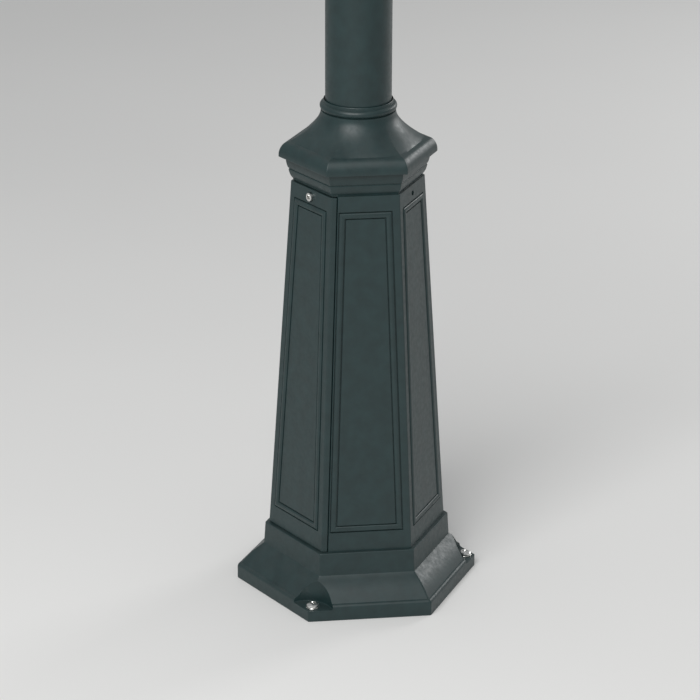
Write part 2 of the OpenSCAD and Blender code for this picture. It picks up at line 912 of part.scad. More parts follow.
module terminal_blocks() {
    color([0.6, 0.62, 0.62])
    for (i = [0:terminal_count - 1]) {
        x = terminal_x + i * (terminal_w + row_gap);
        difference() {
            rail_block(x, terminal_w, terminal_h, terminal_depth);
            for (z = terminal_screw_z) {
                translate([x + terminal_w / 2, rail_front - terminal_depth - 1, rail_z + z])
                    rotate([-90, 0, 0])
                        cylinder(h = 15, r = 2.5);
                translate([x + terminal_w / 2, rail_front - terminal_depth + 20,
                    rail_z + sign(z) * terminal_h / 2])
                    cylinder(h = 16, r = 2.2, center = true);
            }
        }
    }
}

module terminal_screws() {
    color(steel_colour)
    for (i = [0:terminal_count - 1], z = terminal_screw_z)
        translate([terminal_x + terminal_w / 2 + i * (terminal_w + row_gap),
            rail_front - terminal_depth + 4, rail_z + z])
            rotate([-90, 0, 0])
                difference() {
                    cylinder(h = 8, r = 2.3);
                    translate([-3, -0.4, -1])
                        cube([6, 0.8, 2]);
                }
}

module earth_stud() {
    color([0.8, 0.65, 0.3])
    translate([earth_x, plate_y + plate_t + 8, earth_z])
        rotate([90, 0, 0])
            cylinder(h = 38, r = earth_d / 2);
}

module earth_nuts() {
    color([0.8, 0.65, 0.3])
    translate([earth_x, 0, earth_z])
        rotate([90, 0, 0]) {
            translate([0, 0, -plate_y - plate_t - 6.5])
                hex_nut(earth_d, 13, 6.5);
            translate([0, 0, -plate_y])
                washer(earth_d, earth_d, washer_t);
            translate([0, 0, -plate_y + washer_t])
                hex_nut(earth_d, 13, 6.5);
            translate([0, 0, -plate_y + 14])
                washer(earth_d, earth_d, washer_t);
            translate([0, 0, -plate_y + 14 + washer_t])
                hex_nut(earth_d, 13, 6.5);
        }
}

module gland_body() {
    color([0.2, 0.2, 0.21])
    translate([0, gland_y, 0])
        difference() {
            union() {
                translate([0, 0, web_z - 9])
                    cylinder(h = web_t + 9 + eps, r = gland_r);
                translate([0, 0, web_top])
                    cylinder(h = 6, r = corner_r(gland_d + 8), $fn = 6);
                translate([0, 0, web_top + 6 - eps])
                    cylinder(h = 8, r = gland_r - 1);
            }
            translate([0, 0, web_z - 10])
                cylinder(h = 40, r = gland_bore / 2 + 2);
        }
}

module gland_locknut() {
    color([0.2, 0.2, 0.21])
    translate([0, gland_y, web_z - 5])
        hex_nut(gland_d, gland_d + 7, 5);
}

module gland_cap() {
    color([0.2, 0.2, 0.21])
    translate([0, gland_y, web_top + 6.2])
        difference() {
            union() {
                cylinder(h = 10, r = corner_r(gland_d + 6), $fn = 6);
                translate([0, 0, 10 - eps])
                    cylinder(h = 6, r1 = gland_r + 2.6, r2 = gland_bore / 2 + 3);
            }
            translate([0, 0, -1])
                cylinder(h = 13, r = gland_r - 1 + fit);
            cylinder(h = 30, r = gland_bore / 2);
        }
}

module gland_seal() {
    color(rubber_colour)
    translate([0, gland_y, web_top + 2])
        difference() {
            cylinder(h = 12, r = gland_bore / 2 + 2 - fit);
            translate([0, 0, -1])
                cylinder(h = 14, r = gland_bore / 2);
        }
}

// Strap that clamps the incoming cable to the gear plate
module cable_saddle() {
    color([0.8, 0.81, 0.8])
    translate([saddle_x, plate_y, saddle_z - saddle_w / 2])
        difference() {
            union() {
                cylinder(h = saddle_w, r = saddle_r + saddle_t);
                for (side = [0, 1])
                    mirror([side, 0, 0])
                        translate([saddle_r, -saddle_t, 0])
                            cube([saddle_t + saddle_arm, saddle_t, saddle_w]);
            }
            translate([0, 0, -1])
                cylinder(h = saddle_w + 2, r = saddle_r);
            translate([-saddle_r - 30, 0, -1])
                cube([2 * saddle_r + 60, 40, saddle_w + 2]);
            for (side = [-1, 1])
                translate([side * (saddle_r + saddle_arm / 2 + 1), -10, saddle_w / 2])
                    rotate([-90, 0, 0])
                        cylinder(h = 20, r = 2.2);
        }
}

module saddle_screws() {
    color(steel_colour)
    for (side = [-1, 1])
        translate([saddle_x + side * (saddle_r + saddle_arm / 2 + 1), plate_y - saddle_t, saddle_z])
            rotate([90, 0, 0])
                pan_screw(4, plate_t + saddle_t + 3);
}

foot_casting();
body_casting();
access_door();
door_gasket();
door_screw();
screw_retainer();
face_screws();
cornice_collar();
socket_set_screws();
post_tube();
post_seal();
top_spigot();
spigot_screws();
body_screws();
body_screw_washers();
anchor_screws();
anchor_washers();
gear_plate();
gear_plate_screws();
din_rail();
rail_screws();
rail_end_stops();
circuit_breaker();
breaker_toggle();
terminal_blocks();
terminal_screws();
earth_stud();
earth_nuts();
gland_body();
gland_cap();
gland_locknut();
gland_seal();
cable_saddle();
saddle_screws();
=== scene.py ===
"""Looks of a hexagonal street-post pedestal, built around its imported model.

Shapes are worked out in millimetres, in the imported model's own frame, and turned into metres
when a piece is finished.
"""

import logging
import math
from dataclasses import dataclass
from enum import Enum
from typing import Iterable, Sequence

import bmesh
import bpy
from mathutils import Matrix, Vector

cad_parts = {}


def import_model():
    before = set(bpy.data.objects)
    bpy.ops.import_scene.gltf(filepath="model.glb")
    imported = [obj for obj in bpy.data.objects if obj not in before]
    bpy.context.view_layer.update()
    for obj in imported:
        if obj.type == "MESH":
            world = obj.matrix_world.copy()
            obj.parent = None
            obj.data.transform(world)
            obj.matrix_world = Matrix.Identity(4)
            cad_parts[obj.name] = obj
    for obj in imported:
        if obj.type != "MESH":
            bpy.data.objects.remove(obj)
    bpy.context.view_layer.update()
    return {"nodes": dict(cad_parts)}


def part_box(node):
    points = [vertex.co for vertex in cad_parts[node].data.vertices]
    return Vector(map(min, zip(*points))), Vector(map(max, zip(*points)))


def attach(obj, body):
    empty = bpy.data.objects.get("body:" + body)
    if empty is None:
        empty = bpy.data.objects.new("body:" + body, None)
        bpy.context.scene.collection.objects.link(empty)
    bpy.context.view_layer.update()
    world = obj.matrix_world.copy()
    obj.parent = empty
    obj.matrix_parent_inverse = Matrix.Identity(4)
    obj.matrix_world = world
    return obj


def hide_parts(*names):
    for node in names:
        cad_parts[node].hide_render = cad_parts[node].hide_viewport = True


LOG = logging.getLogger("pedestal")
MM = 0.001  # a millimetre, in Blender's metres
COS30 = math.cos(math.radians(30))  # a hexagon's reach to its flats, over its reach to a corner
CORNERS = 6
CORNER_STEPS = 6  # pieces in a rounded corner of a hexagon
SIDE_STEPS = 8  # pieces in the side between two corners
MERGE = 0.002  # points closer than this become one
M5, M6, M8 = 5.0, 6.0, 8.0  # thread sizes
TAP_PLAY = 0.05  # play round the screw in a tapped hole
HOLE_PLAY = 0.5  # play round the screw in a through hole
FINE_CREASE = 25.0  # a fastener's edges that turn by more than this, in degrees, stay crisp
OVERCUT = 1.0  # how far a cutting tool runs past what it cuts

Point = tuple[float, float, float]
Profile = Sequence[tuple[float, float]]
Ring = list[Point]


class Slot(str, Enum):
    """Material slots of the record."""

    CASTING = "casting"
    POST = "post"
    BRIGHT_STEEL = "bright_steel"
    ZINC_STEEL = "zinc_steel"
    SPIGOT_METAL = "spigot_metal"
    RUBBER = "rubber"
    BREAKER_PLASTIC = "breaker_plastic"
    DARK_PLASTIC = "dark_plastic"
    TERMINAL_PLASTIC = "terminal_plastic"
    BRASS = "brass"


class Body(str, Enum):
    """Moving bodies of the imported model."""

    PEDESTAL = "pedestal"
    DOOR = "door"
    RETAINER = "retainer"
    SCREW = "screw"
    TOGGLE = "toggle"


class Boolean(str, Enum):
    """Ways to combine two solids."""

    CUT = "DIFFERENCE"
    ADD = "UNION"
    KEEP = "INTERSECT"


def mix(a: float, b: float, share: float) -> float:
    """Returns the value that lies share of the way from a to b."""
    return a + (b - a) * share


def turns(angles: Iterable[float]) -> list[Matrix]:
    """Returns one turn round the Z axis for each angle in degrees."""
    return [Matrix.Rotation(math.radians(angle), 4, "Z") for angle in angles]


# ---------------------------------------------------------------- outlines


def hexagon_ring(corner_r: float, z: float, rounding: float, blend: float = 0.0) -> Ring:
    """Rounded hexagon that can turn into a circle.

    Args:
        corner_r: Radius to the sharp corners.
        z: Height of the ring.
        rounding: Radius that the corners are rounded to.
        blend: 0 keeps the hexagon, 1 gives the circle through its corners.

    Returns:
        Points, anticlockwise seen from above.
    """
    centre = corner_r - rounding / COS30
    arc = [
        (centre + rounding * math.cos(turn), rounding * math.sin(turn))
        for turn in (math.radians(-30 + 60 * i / CORNER_STEPS) for i in range(CORNER_STEPS + 1))
    ]
    start, turn60 = arc[0], math.radians(60)
    meet = (
        start[0] * math.cos(turn60) - start[1] * math.sin(turn60),
        start[0] * math.sin(turn60) + start[1] * math.cos(turn60),
    )
    side = [
        (mix(arc[-1][0], meet[0], i / SIDE_STEPS), mix(arc[-1][1], meet[1], i / SIDE_STEPS))
        for i in range(1, SIDE_STEPS)
    ]
    ring = []
    for k in range(CORNERS):
        axis = turn60 * k
        for x, y in arc + side:
            reach = math.hypot(x, y)
            angle = math.atan2(y, x) + axis
            far = mix(reach, corner_r, blend)
            ring.append((far * math.cos(angle), far * math.sin(angle), z))
    return ring


def circle_ring(radius: float, z: float, sides: int) -> Ring:
    """Returns a circle of points round the Z axis."""
    step = 2 * math.pi / sides
    return [(radius * math.cos(step * k), radius * math.sin(step * k), z) for k in range(sides)]


def smooth_run(points: Profile, steps: int) -> list[tuple[float, float]]:
    """Curve through the given profile points.

    Args:
        points: Profile points that the curve passes.
        steps: Pieces between two of them.

    Returns:
        The finer profile, first and last point included.
    """
    out = []
    last = len(points) - 1
    for i in range(last):
        p0, p1 = points[max(i - 1, 0)], points[i]
        p2, p3 = points[i + 1], points[min(i + 2, last)]
        for s in range(steps):
            t = s / steps
            out.append(tuple(
                0.5 * (2 * b + (c - a) * t + (2 * a - 5 * b + 4 * c - d) * t * t
                       + (3 * b - a - 3 * c + d) * t ** 3)
                for a, b, c, d in zip(p0, p1, p2, p3)
            ))
    out.append(tuple(points[-1]))
    return out


def arc_run(centre: tuple[float, float], radius: float, start: float, end: float,
            steps: int) -> list[tuple[float, float]]:
    """Returns profile points on an arc, from angle start to angle end in degrees."""
    return [
        (centre[0] + radius * math.cos(math.radians(mix(start, end, i / steps))),
         centre[1] + radius * math.sin(math.radians(mix(start, end, i / steps))))
        for i in range(steps + 1)
    ]


# ---------------------------------------------------------------- solids


class Solid:
    """A closed mesh in millimetres that can be cut, joined and rounded."""

    def __init__(self, points: Iterable[Point], faces: Iterable[Sequence[int]]) -> None:
        """Makes the solid's object from points and faces."""
        mesh = bpy.data.meshes.new("solid")
        mesh.from_pydata(list(points), [], list(faces))
        self.obj = bpy.data.objects.new("solid", mesh)
        bpy.context.scene.collection.objects.link(self.obj)

    @classmethod
    def loft(cls, rings: Sequence[Ring], closed: bool = False) -> "Solid":
        """Skin over rings with as many points each.

        Args:
            rings: Rings of points, each anticlockwise seen from the last one's side.
            closed: True joins the last ring to the first, otherwise both ends get a cap.

        Returns:
            The solid.
        """
        count, total = len(rings[0]), len(rings)
        faces: list[Sequence[int]] = []
        for i in range(total if closed else total - 1):
            low, high = count * i, count * ((i + 1) % total)
            for k in range(count):
                n = (k + 1) % count
                faces.append((low + k, low + n, high + n, high + k))
        if not closed:
            faces.append(tuple(range(count - 1, -1, -1)))
            faces.append(tuple(range(count * (total - 1), count * total)))
        return cls([p for ring in rings for p in ring], faces)

    @classmethod
    def turned(cls, profile: Profile, sides: int = 48, hollow: bool = False) -> "Solid":
        """Returns a profile of (radius, z) turned round Z; hollow closes it into a tube."""
        return cls.loft([circle_ring(r, z, sides) for r, z in profile], closed=hollow)

    @classmethod
    def cylinder(cls, radius: float, z0: float, z1: float, sides: int = 48) -> "Solid":
        """Returns a cylinder on the Z axis."""
        return cls.turned([(radius, z0), (radius, z1)], sides)

    @classmethod
    def slab(cls, outline: Sequence[tuple[float, float]], z0: float, z1: float) -> "Solid":
        """Returns a flat outline drawn out from z0 to z1."""
        return cls.loft([[(x, y, z) for x, y in outline] for z in (z0, z1)])

    @classmethod
    def block(cls, low: Point, high: Point) -> "Solid":
        """Returns a box between two corners."""
        outline = [(low[0], low[1]), (high[0], low[1]), (high[0], high[1]), (low[0], high[1])]
        return cls.slab(outline, low[2], high[2])

    def placed(self, matrix: Matrix) -> "Solid":
        """Moves the mesh by a matrix and returns the solid."""
        self.obj.data.transform(matrix)
        return self

    def at(self, x: float, y: float, z: float) -> "Solid":
        """Moves the mesh by an offset and returns the solid."""
        return self.placed(Matrix.Translation((x, y, z)))

    def copies(self, matrices: Sequence[Matrix]) -> "Solid":
        """Repeats the solid at clear places and returns it as one mesh.

        Args:
            matrices: One matrix for each place.

        Returns:
            The solid, now holding every copy.
        """
        built = bmesh.new()
        for matrix in matrices:
            piece = self.obj.data.copy()
            piece.transform(matrix)
            built.from_mesh(piece)
            bpy.data.meshes.remove(piece)
        built.to_mesh(self.obj.data)
        built.free()
        return self

    def around(self, radius: float, angles: Iterable[float]) -> "Solid":
        """Moves the solid out along X, repeats it at angles round Z and returns it."""
        return self.at(radius, 0, 0).copies(turns(angles))

    def combine(self, other: "Solid", how: Boolean) -> "Solid":
        """Cuts, adds or keeps with another solid, which is used up.

        Args:
            other: The tool.
            how: The way the two are combined.

        Returns:
            This solid.
        """
        modifier = self.obj.modifiers.new("combine", "BOOLEAN")
        modifier.operation = how.value
        modifier.solver = "EXACT"
        modifier.object = other.obj
        self._evaluate()
        other.discard()
        return self

    def cut(self, *tools: "Solid") -> "Solid":
        """Takes each tool away and returns the solid."""
        for tool in tools:
            self.combine(tool, Boolean.CUT)
        return self

    def add(self, *others: "Solid") -> "Solid":
        """Joins each other solid on and returns the solid."""
        for other in others:
            self.combine(other, Boolean.ADD)
        return self

    def keep(self, other: "Solid") -> "Solid":
        """Keeps what lies inside the other solid and returns the solid."""
        return self.combine(other, Boolean.KEEP)

    def tidy(self, flat_deg: float = 0.4) -> "Solid":
        """Merges doubles, joins flat neighbours and returns the solid."""
        built = bmesh.new()
        built.from_mesh(self.obj.data)
        bmesh.ops.remove_doubles(built, verts=built.verts, dist=MERGE)
        bmesh.ops.dissolve_limit(
            built, angle_limit=math.radians(flat_deg), verts=built.verts, edges=built.edges)
        built.to_mesh(self.obj.data)
        built.free()
        return self

    def soften(self, width: float, segments: int = 2, angle_deg: float = 32.0) -> "Solid":
        """Rounds every edge sharper than an angle.

        Args:
            width: Width of the rounding in millimetres.
            segments: Faces across it.
            angle_deg: Only edges that turn by more than this are rounded.

        Returns:
            The solid.
        """
        self.tidy()
        modifier = self.obj.modifiers.new("soften", "BEVEL")
        modifier.width = width
        modifier.segments = segments
        modifier.limit_method = "ANGLE"
        modifier.angle_limit = math.radians(angle_deg)
        modifier.miter_outer = "MITER_ARC"
        modifier.use_clamp_overlap = True
        self._evaluate()
        return self

    def discard(self) -> None:
        """Removes the solid's object and mesh."""
        mesh = self.obj.data
        bpy.data.objects.remove(self.obj)
        bpy.data.meshes.remove(mesh)

    def _evaluate(self) -> None:
        """Turns the live modifiers into plain mesh."""
        graph = bpy.context.evaluated_depsgraph_get()
        mesh = bpy.data.meshes.new_from_object(self.obj.evaluated_get(graph))
        old = self.obj.data
        self.obj.modifiers.clear()
        self.obj.data = mesh
        bpy.data.meshes.remove(old)

    def finish(self, piece: "Piece") -> bpy.types.Object:
        """Scales the mesh to metres and hands the piece over."""
        self.obj.data.transform(Matrix.Scale(MM, 4))
        return piece.dress(self.obj)


@dataclass(frozen=True)
class Finish:
    """A material and the record's slot that it shows."""

    material: bpy.types.Material
    slot: Slot


@dataclass(frozen=True)
class Piece:
    """Who a finished mesh is: its name, finish, CAD node and body."""

    name: str
    finish: Finish
    node: str
    body: Body = Body.PEDESTAL
    crease_deg: float = 34.0

    def dress(self, obj: bpy.types.Object) -> bpy.types.Object:
        """Names, shades and hands over an object that is already in place, in metres."""
        mesh = obj.data
        obj.name = mesh.name = self.name
        mesh.materials.clear()
        mesh.materials.append(self.finish.material)
        for face in mesh.polygons:
            face.material_index = 0
        mesh.shade_smooth()
        mesh.set_sharp_from_angle(angle=math.radians(self.crease_deg))
        modifier = obj.modifiers.new("weighted", "WEIGHTED_NORMAL")
        modifier.keep_sharp = True
        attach(obj, self.body.value)
        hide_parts(self.node)
        LOG.info("%s: %d faces, stands for %s", self.name, len(mesh.polygons), self.node)
        return obj


# ---------------------------------------------------------------- node graphs


class Graph:
    """Adds nodes to a node tree and links them."""

    def __init__(self, tree: bpy.types.NodeTree) -> None:
        """Keeps the tree that nodes are added to."""
        self.tree = tree

    def add(self, kind: str, settings: dict | None = None, **values: object) -> bpy.types.Node:
        """Adds a node.

        Args:
            kind: The node's type name.
            settings: Properties of the node.
            values: Inputs by name, with _ for a space: a socket is linked, a value is set.

        Returns:
            The node.
        """
        node = self.tree.nodes.new(kind)
        for key, value in (settings or {}).items():
            setattr(node, key, value)
        for key, value in values.items():
            self.feed(node.inputs[key.replace("_", " ")], value)
        return node

    def feed(self, socket: bpy.types.NodeSocket, value: object) -> None:
        """Links a socket to an input, or sets the input's value."""
        if isinstance(value, bpy.types.NodeSocket):
            self.tree.links.new(value, socket)
        else:
            socket.default_value = value


class Surface(Graph):
    """A procedural material on Object coordinates."""

    def __init__(self, name: str) -> None:
        """Starts the material with its shader and coordinates."""
        self.material = bpy.data.materials.new(name)
        self.material.use_nodes = True
        super().__init__(self.material.node_tree)
        self.tree.nodes.clear()
        self.shader = self.add("ShaderNodeBsdfPrincipled")
        self.add("ShaderNodeOutputMaterial", Surface=self.shader.outputs[0])
        self.place = self.add("ShaderNodeTexCoord").outputs["Object"]

    def noise(self, size_mm: float, detail: float = 2.0, stretch: Point | None = None,
              rough: float = 0.5) -> bpy.types.NodeSocket:
        """Noise of a real size.

        Args:
            size_mm: Size of one blotch.
            detail: Finer layers on top.
            stretch: Scale along X, Y and Z, for grain that runs one way.
            rough: Weight of the finer layers.

        Returns:
            The noise's value, about 0.5 on average.
        """
        place = self.place
        if stretch:
            place = self.add("ShaderNodeMapping", Vector=place, Scale=stretch).outputs[0]
        node = self.add("ShaderNodeTexNoise", Vector=place, Scale=1 / (size_mm * MM),
                        Detail=detail, Roughness=rough)
        return node.outputs[0]

    def spread(self, value: bpy.types.NodeSocket, low: float, high: float,
               start: float = 0.3, end: float = 0.7) -> bpy.types.NodeSocket:
        """Maps a value from start..end to low..high."""
        node = self.add("ShaderNodeMapRange", Value=value, From_Min=start, From_Max=end,
                        To_Min=low, To_Max=high)
        return node.outputs[0]

    def blend(self, share: object, first: object, second: object) -> bpy.types.NodeSocket:
        """Mixes two colours."""
        node = self.add("ShaderNodeMixRGB", Fac=share, Color1=first, Color2=second)
        return node.outputs[0]

    def bump(self, height: bpy.types.NodeSocket, depth_mm: float, strength: float = 1.0,
             below: bpy.types.NodeSocket | None = None) -> bpy.types.NodeSocket:
        """Bumps the surface by a height of a real depth, on top of another bump."""
        node = self.add("ShaderNodeBump", Height=height, Distance=depth_mm * MM,
                        Strength=strength)
        if below:
            self.feed(node.inputs["Normal"], below)
        return node.outputs[0]

    def edge_share(self, radius_mm: float, low: float, high: float) -> bpy.types.NodeSocket:
        """Returns 0 on flat faces and rises to 1 on outer and inner edges."""
        normal = self.add("ShaderNodeNewGeometry").outputs["Normal"]
        soft = self.add("ShaderNodeBevel", {"samples": 4}, Radius=radius_mm * MM).outputs[0]
        dot = self.add("ShaderNodeVectorMath", {"operation": "DOT_PRODUCT"})
        self.feed(dot.inputs[0], normal)
        self.feed(dot.inputs[1], soft)
        return self.spread(dot.outputs["Value"], 1.0, 0.0, low, high)

    def up_share(self, start: float, end: float) -> bpy.types.NodeSocket:
        """Returns how much the surface faces up, from 0 to 1."""
        normal = self.add("ShaderNodeNewGeometry").outputs["Normal"]
        z = self.add("ShaderNodeSeparateXYZ", Vector=normal).outputs["Z"]
        return self.spread(z, 0.0, 1.0, start, end)

    def times(self, first: object, second: object) -> bpy.types.NodeSocket:
        """Multiplies two values."""
        node = self.add("ShaderNodeMath", {"operation": "MULTIPLY"})
        self.feed(node.inputs[0], first)
        self.feed(node.inputs[1], second)
        return node.outputs[0]

    def set(self, **values: object) -> None:
        """Feeds the shader's inputs by name, with _ for a space."""
        for key, value in values.items():
            self.feed(self.shader.inputs[key.replace("_", " ")], value)


def shade(colour: Sequence[float], factor: float) -> tuple[float, float, float, float]:
    """Returns a colour made lighter or darker, with full alpha."""
    return (colour[0] * factor, colour[1] * factor, colour[2] * factor, 1.0)


@dataclass(frozen=True)
class PowderCoat:
    """Satin powder coat with a fine orange peel, edges lightened partly by wear and partly by a
    painted highlight, and a breath of dust on upward faces that also paints the light from above.
    """

    name: str = "powder_coat_dark_green"
    colour: Point = (0.011, 0.029, 0.030)
    dust_and_painted_top_light: Point = (0.12, 0.125, 0.12)
    roughness: float = 0.43
    mottle_mm: float = 14.0
    dust_and_painted_top_light_mm: float = 22.0
    wear_and_edge_highlight_mm: float = 3.0
    peel_mm: float = 0.75
    wave_mm: float = 2.6

    def material(self) -> bpy.types.Material:
        """Builds the material."""
        s = Surface(self.name)
        mottle = s.spread(s.noise(self.mottle_mm, 4), 0.0, 1.0)
        colour = s.blend(mottle, shade(self.colour, 0.86), shade(self.colour, 1.16))
        # Lighter colour on outer and inner edges: partly wear, partly a painted highlight along the
        # edges.
        wear_and_edge_highlight = s.times(s.edge_share(0.9, 0.90, 0.995), s.spread(s.noise(self.wear_and_edge_highlight_mm, 3), 0.1, 0.5))
        colour = s.blend(wear_and_edge_highlight, colour, shade(self.colour, 2.1))
        # Paler colour on upward faces: partly dust, partly painted light falling from above.
        dust_and_painted_top_light = s.times(s.up_share(0.35, 1.0), s.spread(s.noise(self.dust_and_painted_top_light_mm, 5), 0.02, 0.16))
        colour = s.blend(dust_and_painted_top_light, colour, (*self.dust_and_painted_top_light, 1.0))
        peel = s.bump(s.noise(self.peel_mm, 2), 0.035, 0.5)
        peel = s.bump(s.noise(self.wave_mm, 3), 0.03, 0.5, peel)
        s.set(Base_Color=colour, Roughness=s.spread(s.noise(5, 3), self.roughness - 0.05,
                                                    self.roughness + 0.06), Normal=peel)
        s.set(Specular_IOR_Level=0.5)
        return s.material


@dataclass(frozen=True)
class Metal:
    """Bare or plated metal with grain along one axis and darker tarnish."""

    name: str
    colour: Point
    roughness: float
    grain: Point = (1.0, 1.0, 1.0)
    grain_mm: float = 0.5
    tarnish: float = 0.25

    def material(self) -> bpy.types.Material:
        """Builds the material."""
        s = Surface(self.name)
        grain = s.noise(self.grain_mm, 3, self.grain)
        blotch = s.spread(s.noise(6, 4), 0.0, self.tarnish)
        colour = s.blend(blotch, (*self.colour, 1.0), shade(self.colour, 0.55))
        s.set(Base_Color=colour, Metallic=1.0, Normal=s.bump(grain, 0.008, 0.5),
              Roughness=s.spread(grain, self.roughness * 0.8, self.roughness * 1.3))
        return s.material


@dataclass(frozen=True)
class Moulding:
    """Moulded plastic or rubber with a spark-eroded grain."""

    name: str
    colour: Point
    roughness: float
    grain_mm: float = 0.4

    def material(self) -> bpy.types.Material:
        """Builds the material."""
        s = Surface(self.name)
        cloud = s.spread(s.noise(9, 3), 0.0, 1.0)
        colour = s.blend(cloud, shade(self.colour, 0.93), shade(self.colour, 1.07))
        # Lighter colour on outer and inner edges: partly handling wear, partly a painted highlight
        # along the edges.
        handling_and_edge_highlight = s.times(s.edge_share(0.5, 0.9, 0.995), 0.35)
        colour = s.blend(handling_and_edge_highlight, colour, shade(self.colour, 1.35))
        s.set(Base_Color=colour, Normal=s.bump(s.noise(self.grain_mm, 2), 0.012, 0.6),
              Roughness=s.spread(s.noise(2, 2), self.roughness - 0.04, self.roughness + 0.05))
        return s.material


@dataclass(frozen=True)
class Finishes:
    """Every finish of the object, made once."""

    casting: Finish
    post: Finish
    bright_steel: Finish
    zinc: Finish
    spigot: Finish
    rubber: Finish
    breaker: Finish
    dark_plastic: Finish
    terminal: Finish
    brass: Finish

    @classmethod
    def make(cls) -> "Finishes":
        """Builds the materials, in the order of the fields."""
        return cls(*(Finish(look.material(), slot) for look, slot in (
            (PowderCoat(), Slot.CASTING),
            (PowderCoat("powder_coat_post", roughness=0.42), Slot.POST),
            (Metal("polished_stainless", (0.78, 0.78, 0.76), 0.2), Slot.BRIGHT_STEEL),
            (Metal("zinc_plate", (0.62, 0.63, 0.63), 0.36, grain_mm=0.9), Slot.ZINC_STEEL),
            (Metal("turned_aluminium", (0.72, 0.73, 0.74), 0.3, grain=(0.05, 0.05, 1.0),
                   grain_mm=0.25, tarnish=0.1), Slot.SPIGOT_METAL),
            (Moulding("black_rubber", (0.018, 0.018, 0.018), 0.72), Slot.RUBBER),
            (Moulding("pale_thermoset", (0.66, 0.67, 0.65), 0.5), Slot.BREAKER_PLASTIC),
            (Moulding("black_polyamide", (0.022, 0.022, 0.025), 0.45), Slot.DARK_PLASTIC),
            (Moulding("grey_polyamide", (0.3, 0.32, 0.32), 0.48), Slot.TERMINAL_PLASTIC),
            (Metal("plain_brass", (0.75, 0.55, 0.24), 0.3), Slot.BRASS),
        )))


# ---------------------------------------------------------------- what repeats


class Seats:
    """Places of one kind of fastener: a point and an axis each, in millimetres."""

    def __init__(self, places: Sequence[tuple[Point, Point]]) -> None:
        """Keeps the places."""
        self.places = places

    def cloud(self) -> bpy.types.Object:
        """Builds the mesh of points that carries the axes."""
        mesh = bpy.data.meshes.new("seats")
        mesh.from_pydata([p for p, _ in self.places], [], [])
        axes = mesh.attributes.new("axis", "FLOAT_VECTOR", "POINT")
        axes.data.foreach_set("vector", [c for _, axis in self.places for c in axis])
        obj = bpy.data.objects.new("seats", mesh)
        bpy.context.scene.collection.objects.link(obj)
        return obj


class Repeater:
    """Geometry Nodes tree that sets one shape on every seat."""

    def __init__(self, name: str) -> None:
        """Builds the tree with its named inputs."""
        self.tree = bpy.data.node_groups.new(name, "GeometryNodeTree")
        face = self.tree.interface
        face.new_socket(name="Seats", in_out="INPUT", socket_type="NodeSocketGeometry")
        self.inputs = {
            label: face.new_socket(name=label, in_out="INPUT", socket_type=kind).identifier
            for label, kind in (("Shape", "NodeSocketObject"), ("Turn spread", "NodeSocketFloat"),
                                ("Seed", "NodeSocketInt"), ("Finish", "NodeSocketMaterial"))
        }
        face.new_socket(name="Fasteners", in_out="OUTPUT", socket_type="NodeSocketGeometry")
        g = Graph(self.tree)
        given = g.add("NodeGroupInput").outputs
        axis = g.add("GeometryNodeInputNamedAttribute", {"data_type": "FLOAT_VECTOR"}, Name="axis")
        lean = g.add("FunctionNodeAlignRotationToVector", {"axis": "Z"},
                     Vector=axis.outputs["Attribute"])
        shape = g.add("GeometryNodeObjectInfo", Object=given["Shape"])
        placed = g.add("GeometryNodeInstanceOnPoints", Points=given["Seats"],
                       Instance=shape.outputs["Geometry"], Rotation=lean.outputs[0])
        turn = g.add("FunctionNodeRandomValue", {"data_type": "FLOAT"})
        g.feed(turn.inputs[3], given["Turn spread"])
        g.feed(turn.inputs["Seed"], given["Seed"])
        spin = g.add("ShaderNodeCombineXYZ", Z=turn.outputs[1])
        turned = g.add("GeometryNodeRotateInstances", Instances=placed.outputs[0],
                       Rotation=spin.outputs[0])
        real = g.add("GeometryNodeRealizeInstances", Geometry=turned.outputs[0])
        dressed = g.add("GeometryNodeSetMaterial", Geometry=real.outputs[0],
                        Material=given["Finish"])
        out = g.add("NodeGroupOutput")
        g.feed(out.inputs[0], dressed.outputs[0])

    def build(self, shape: Solid, seats: Seats, piece: Piece, spread: float = 0.0,
              seed: int = 1) -> bpy.types.Object:
        """Repeats a shape over seats into one finished piece.

        Args:
            shape: The fastener, its seat at the origin and its head up Z. It is used up.
            seats: Where the copies go.
            piece: Who the result is.
            spread: How far copies may turn about their own axis, in radians.
            seed: Seed of those turns.

        Returns:
            The finished object.
        """
        cloud = seats.cloud()
        modifier = cloud.modifiers.new("repeat", "NODES")
        modifier.node_group = self.tree
        for label, value in (("Shape", shape.obj), ("Turn spread", spread), ("Seed", seed),
                             ("Finish", piece.finish.material)):
            modifier[self.inputs[label]] = value
        graph = bpy.context.evaluated_depsgraph_get()
        mesh = bpy.data.meshes.new_from_object(cloud.evaluated_get(graph))
        points = cloud.data
        cloud.modifiers.clear()
        bpy.data.objects.remove(cloud)
        bpy.data.meshes.remove(points)
        shape.discard()
        mesh.transform(Matrix.Scale(MM, 4))
        obj = bpy.data.objects.new(piece.name, mesh)
        bpy.context.scene.collection.objects.link(obj)
        return piece.dress(obj)


def ring_seats(angles: Sequence[float], radius: float, heights: Sequence[float],
               outward: bool = False) -> Seats:
    """Seats round the Z axis.

    Args:
        angles: Directions in degrees from +X.
        radius: Distance from the axis.
        heights: Heights that each direction has a seat at.
        outward: True points the heads away from the axis, otherwise up.

    Returns:
        The seats.
    """
    places = []
    for z in heights:
        for angle in angles:
            c, s = math.cos(math.radians(angle)), math.sin(math.radians(angle))
            places.append(((radius * c, radius * s, z), (c, s, 0.0) if outward else (0, 0, 1)))
    return Seats(places)


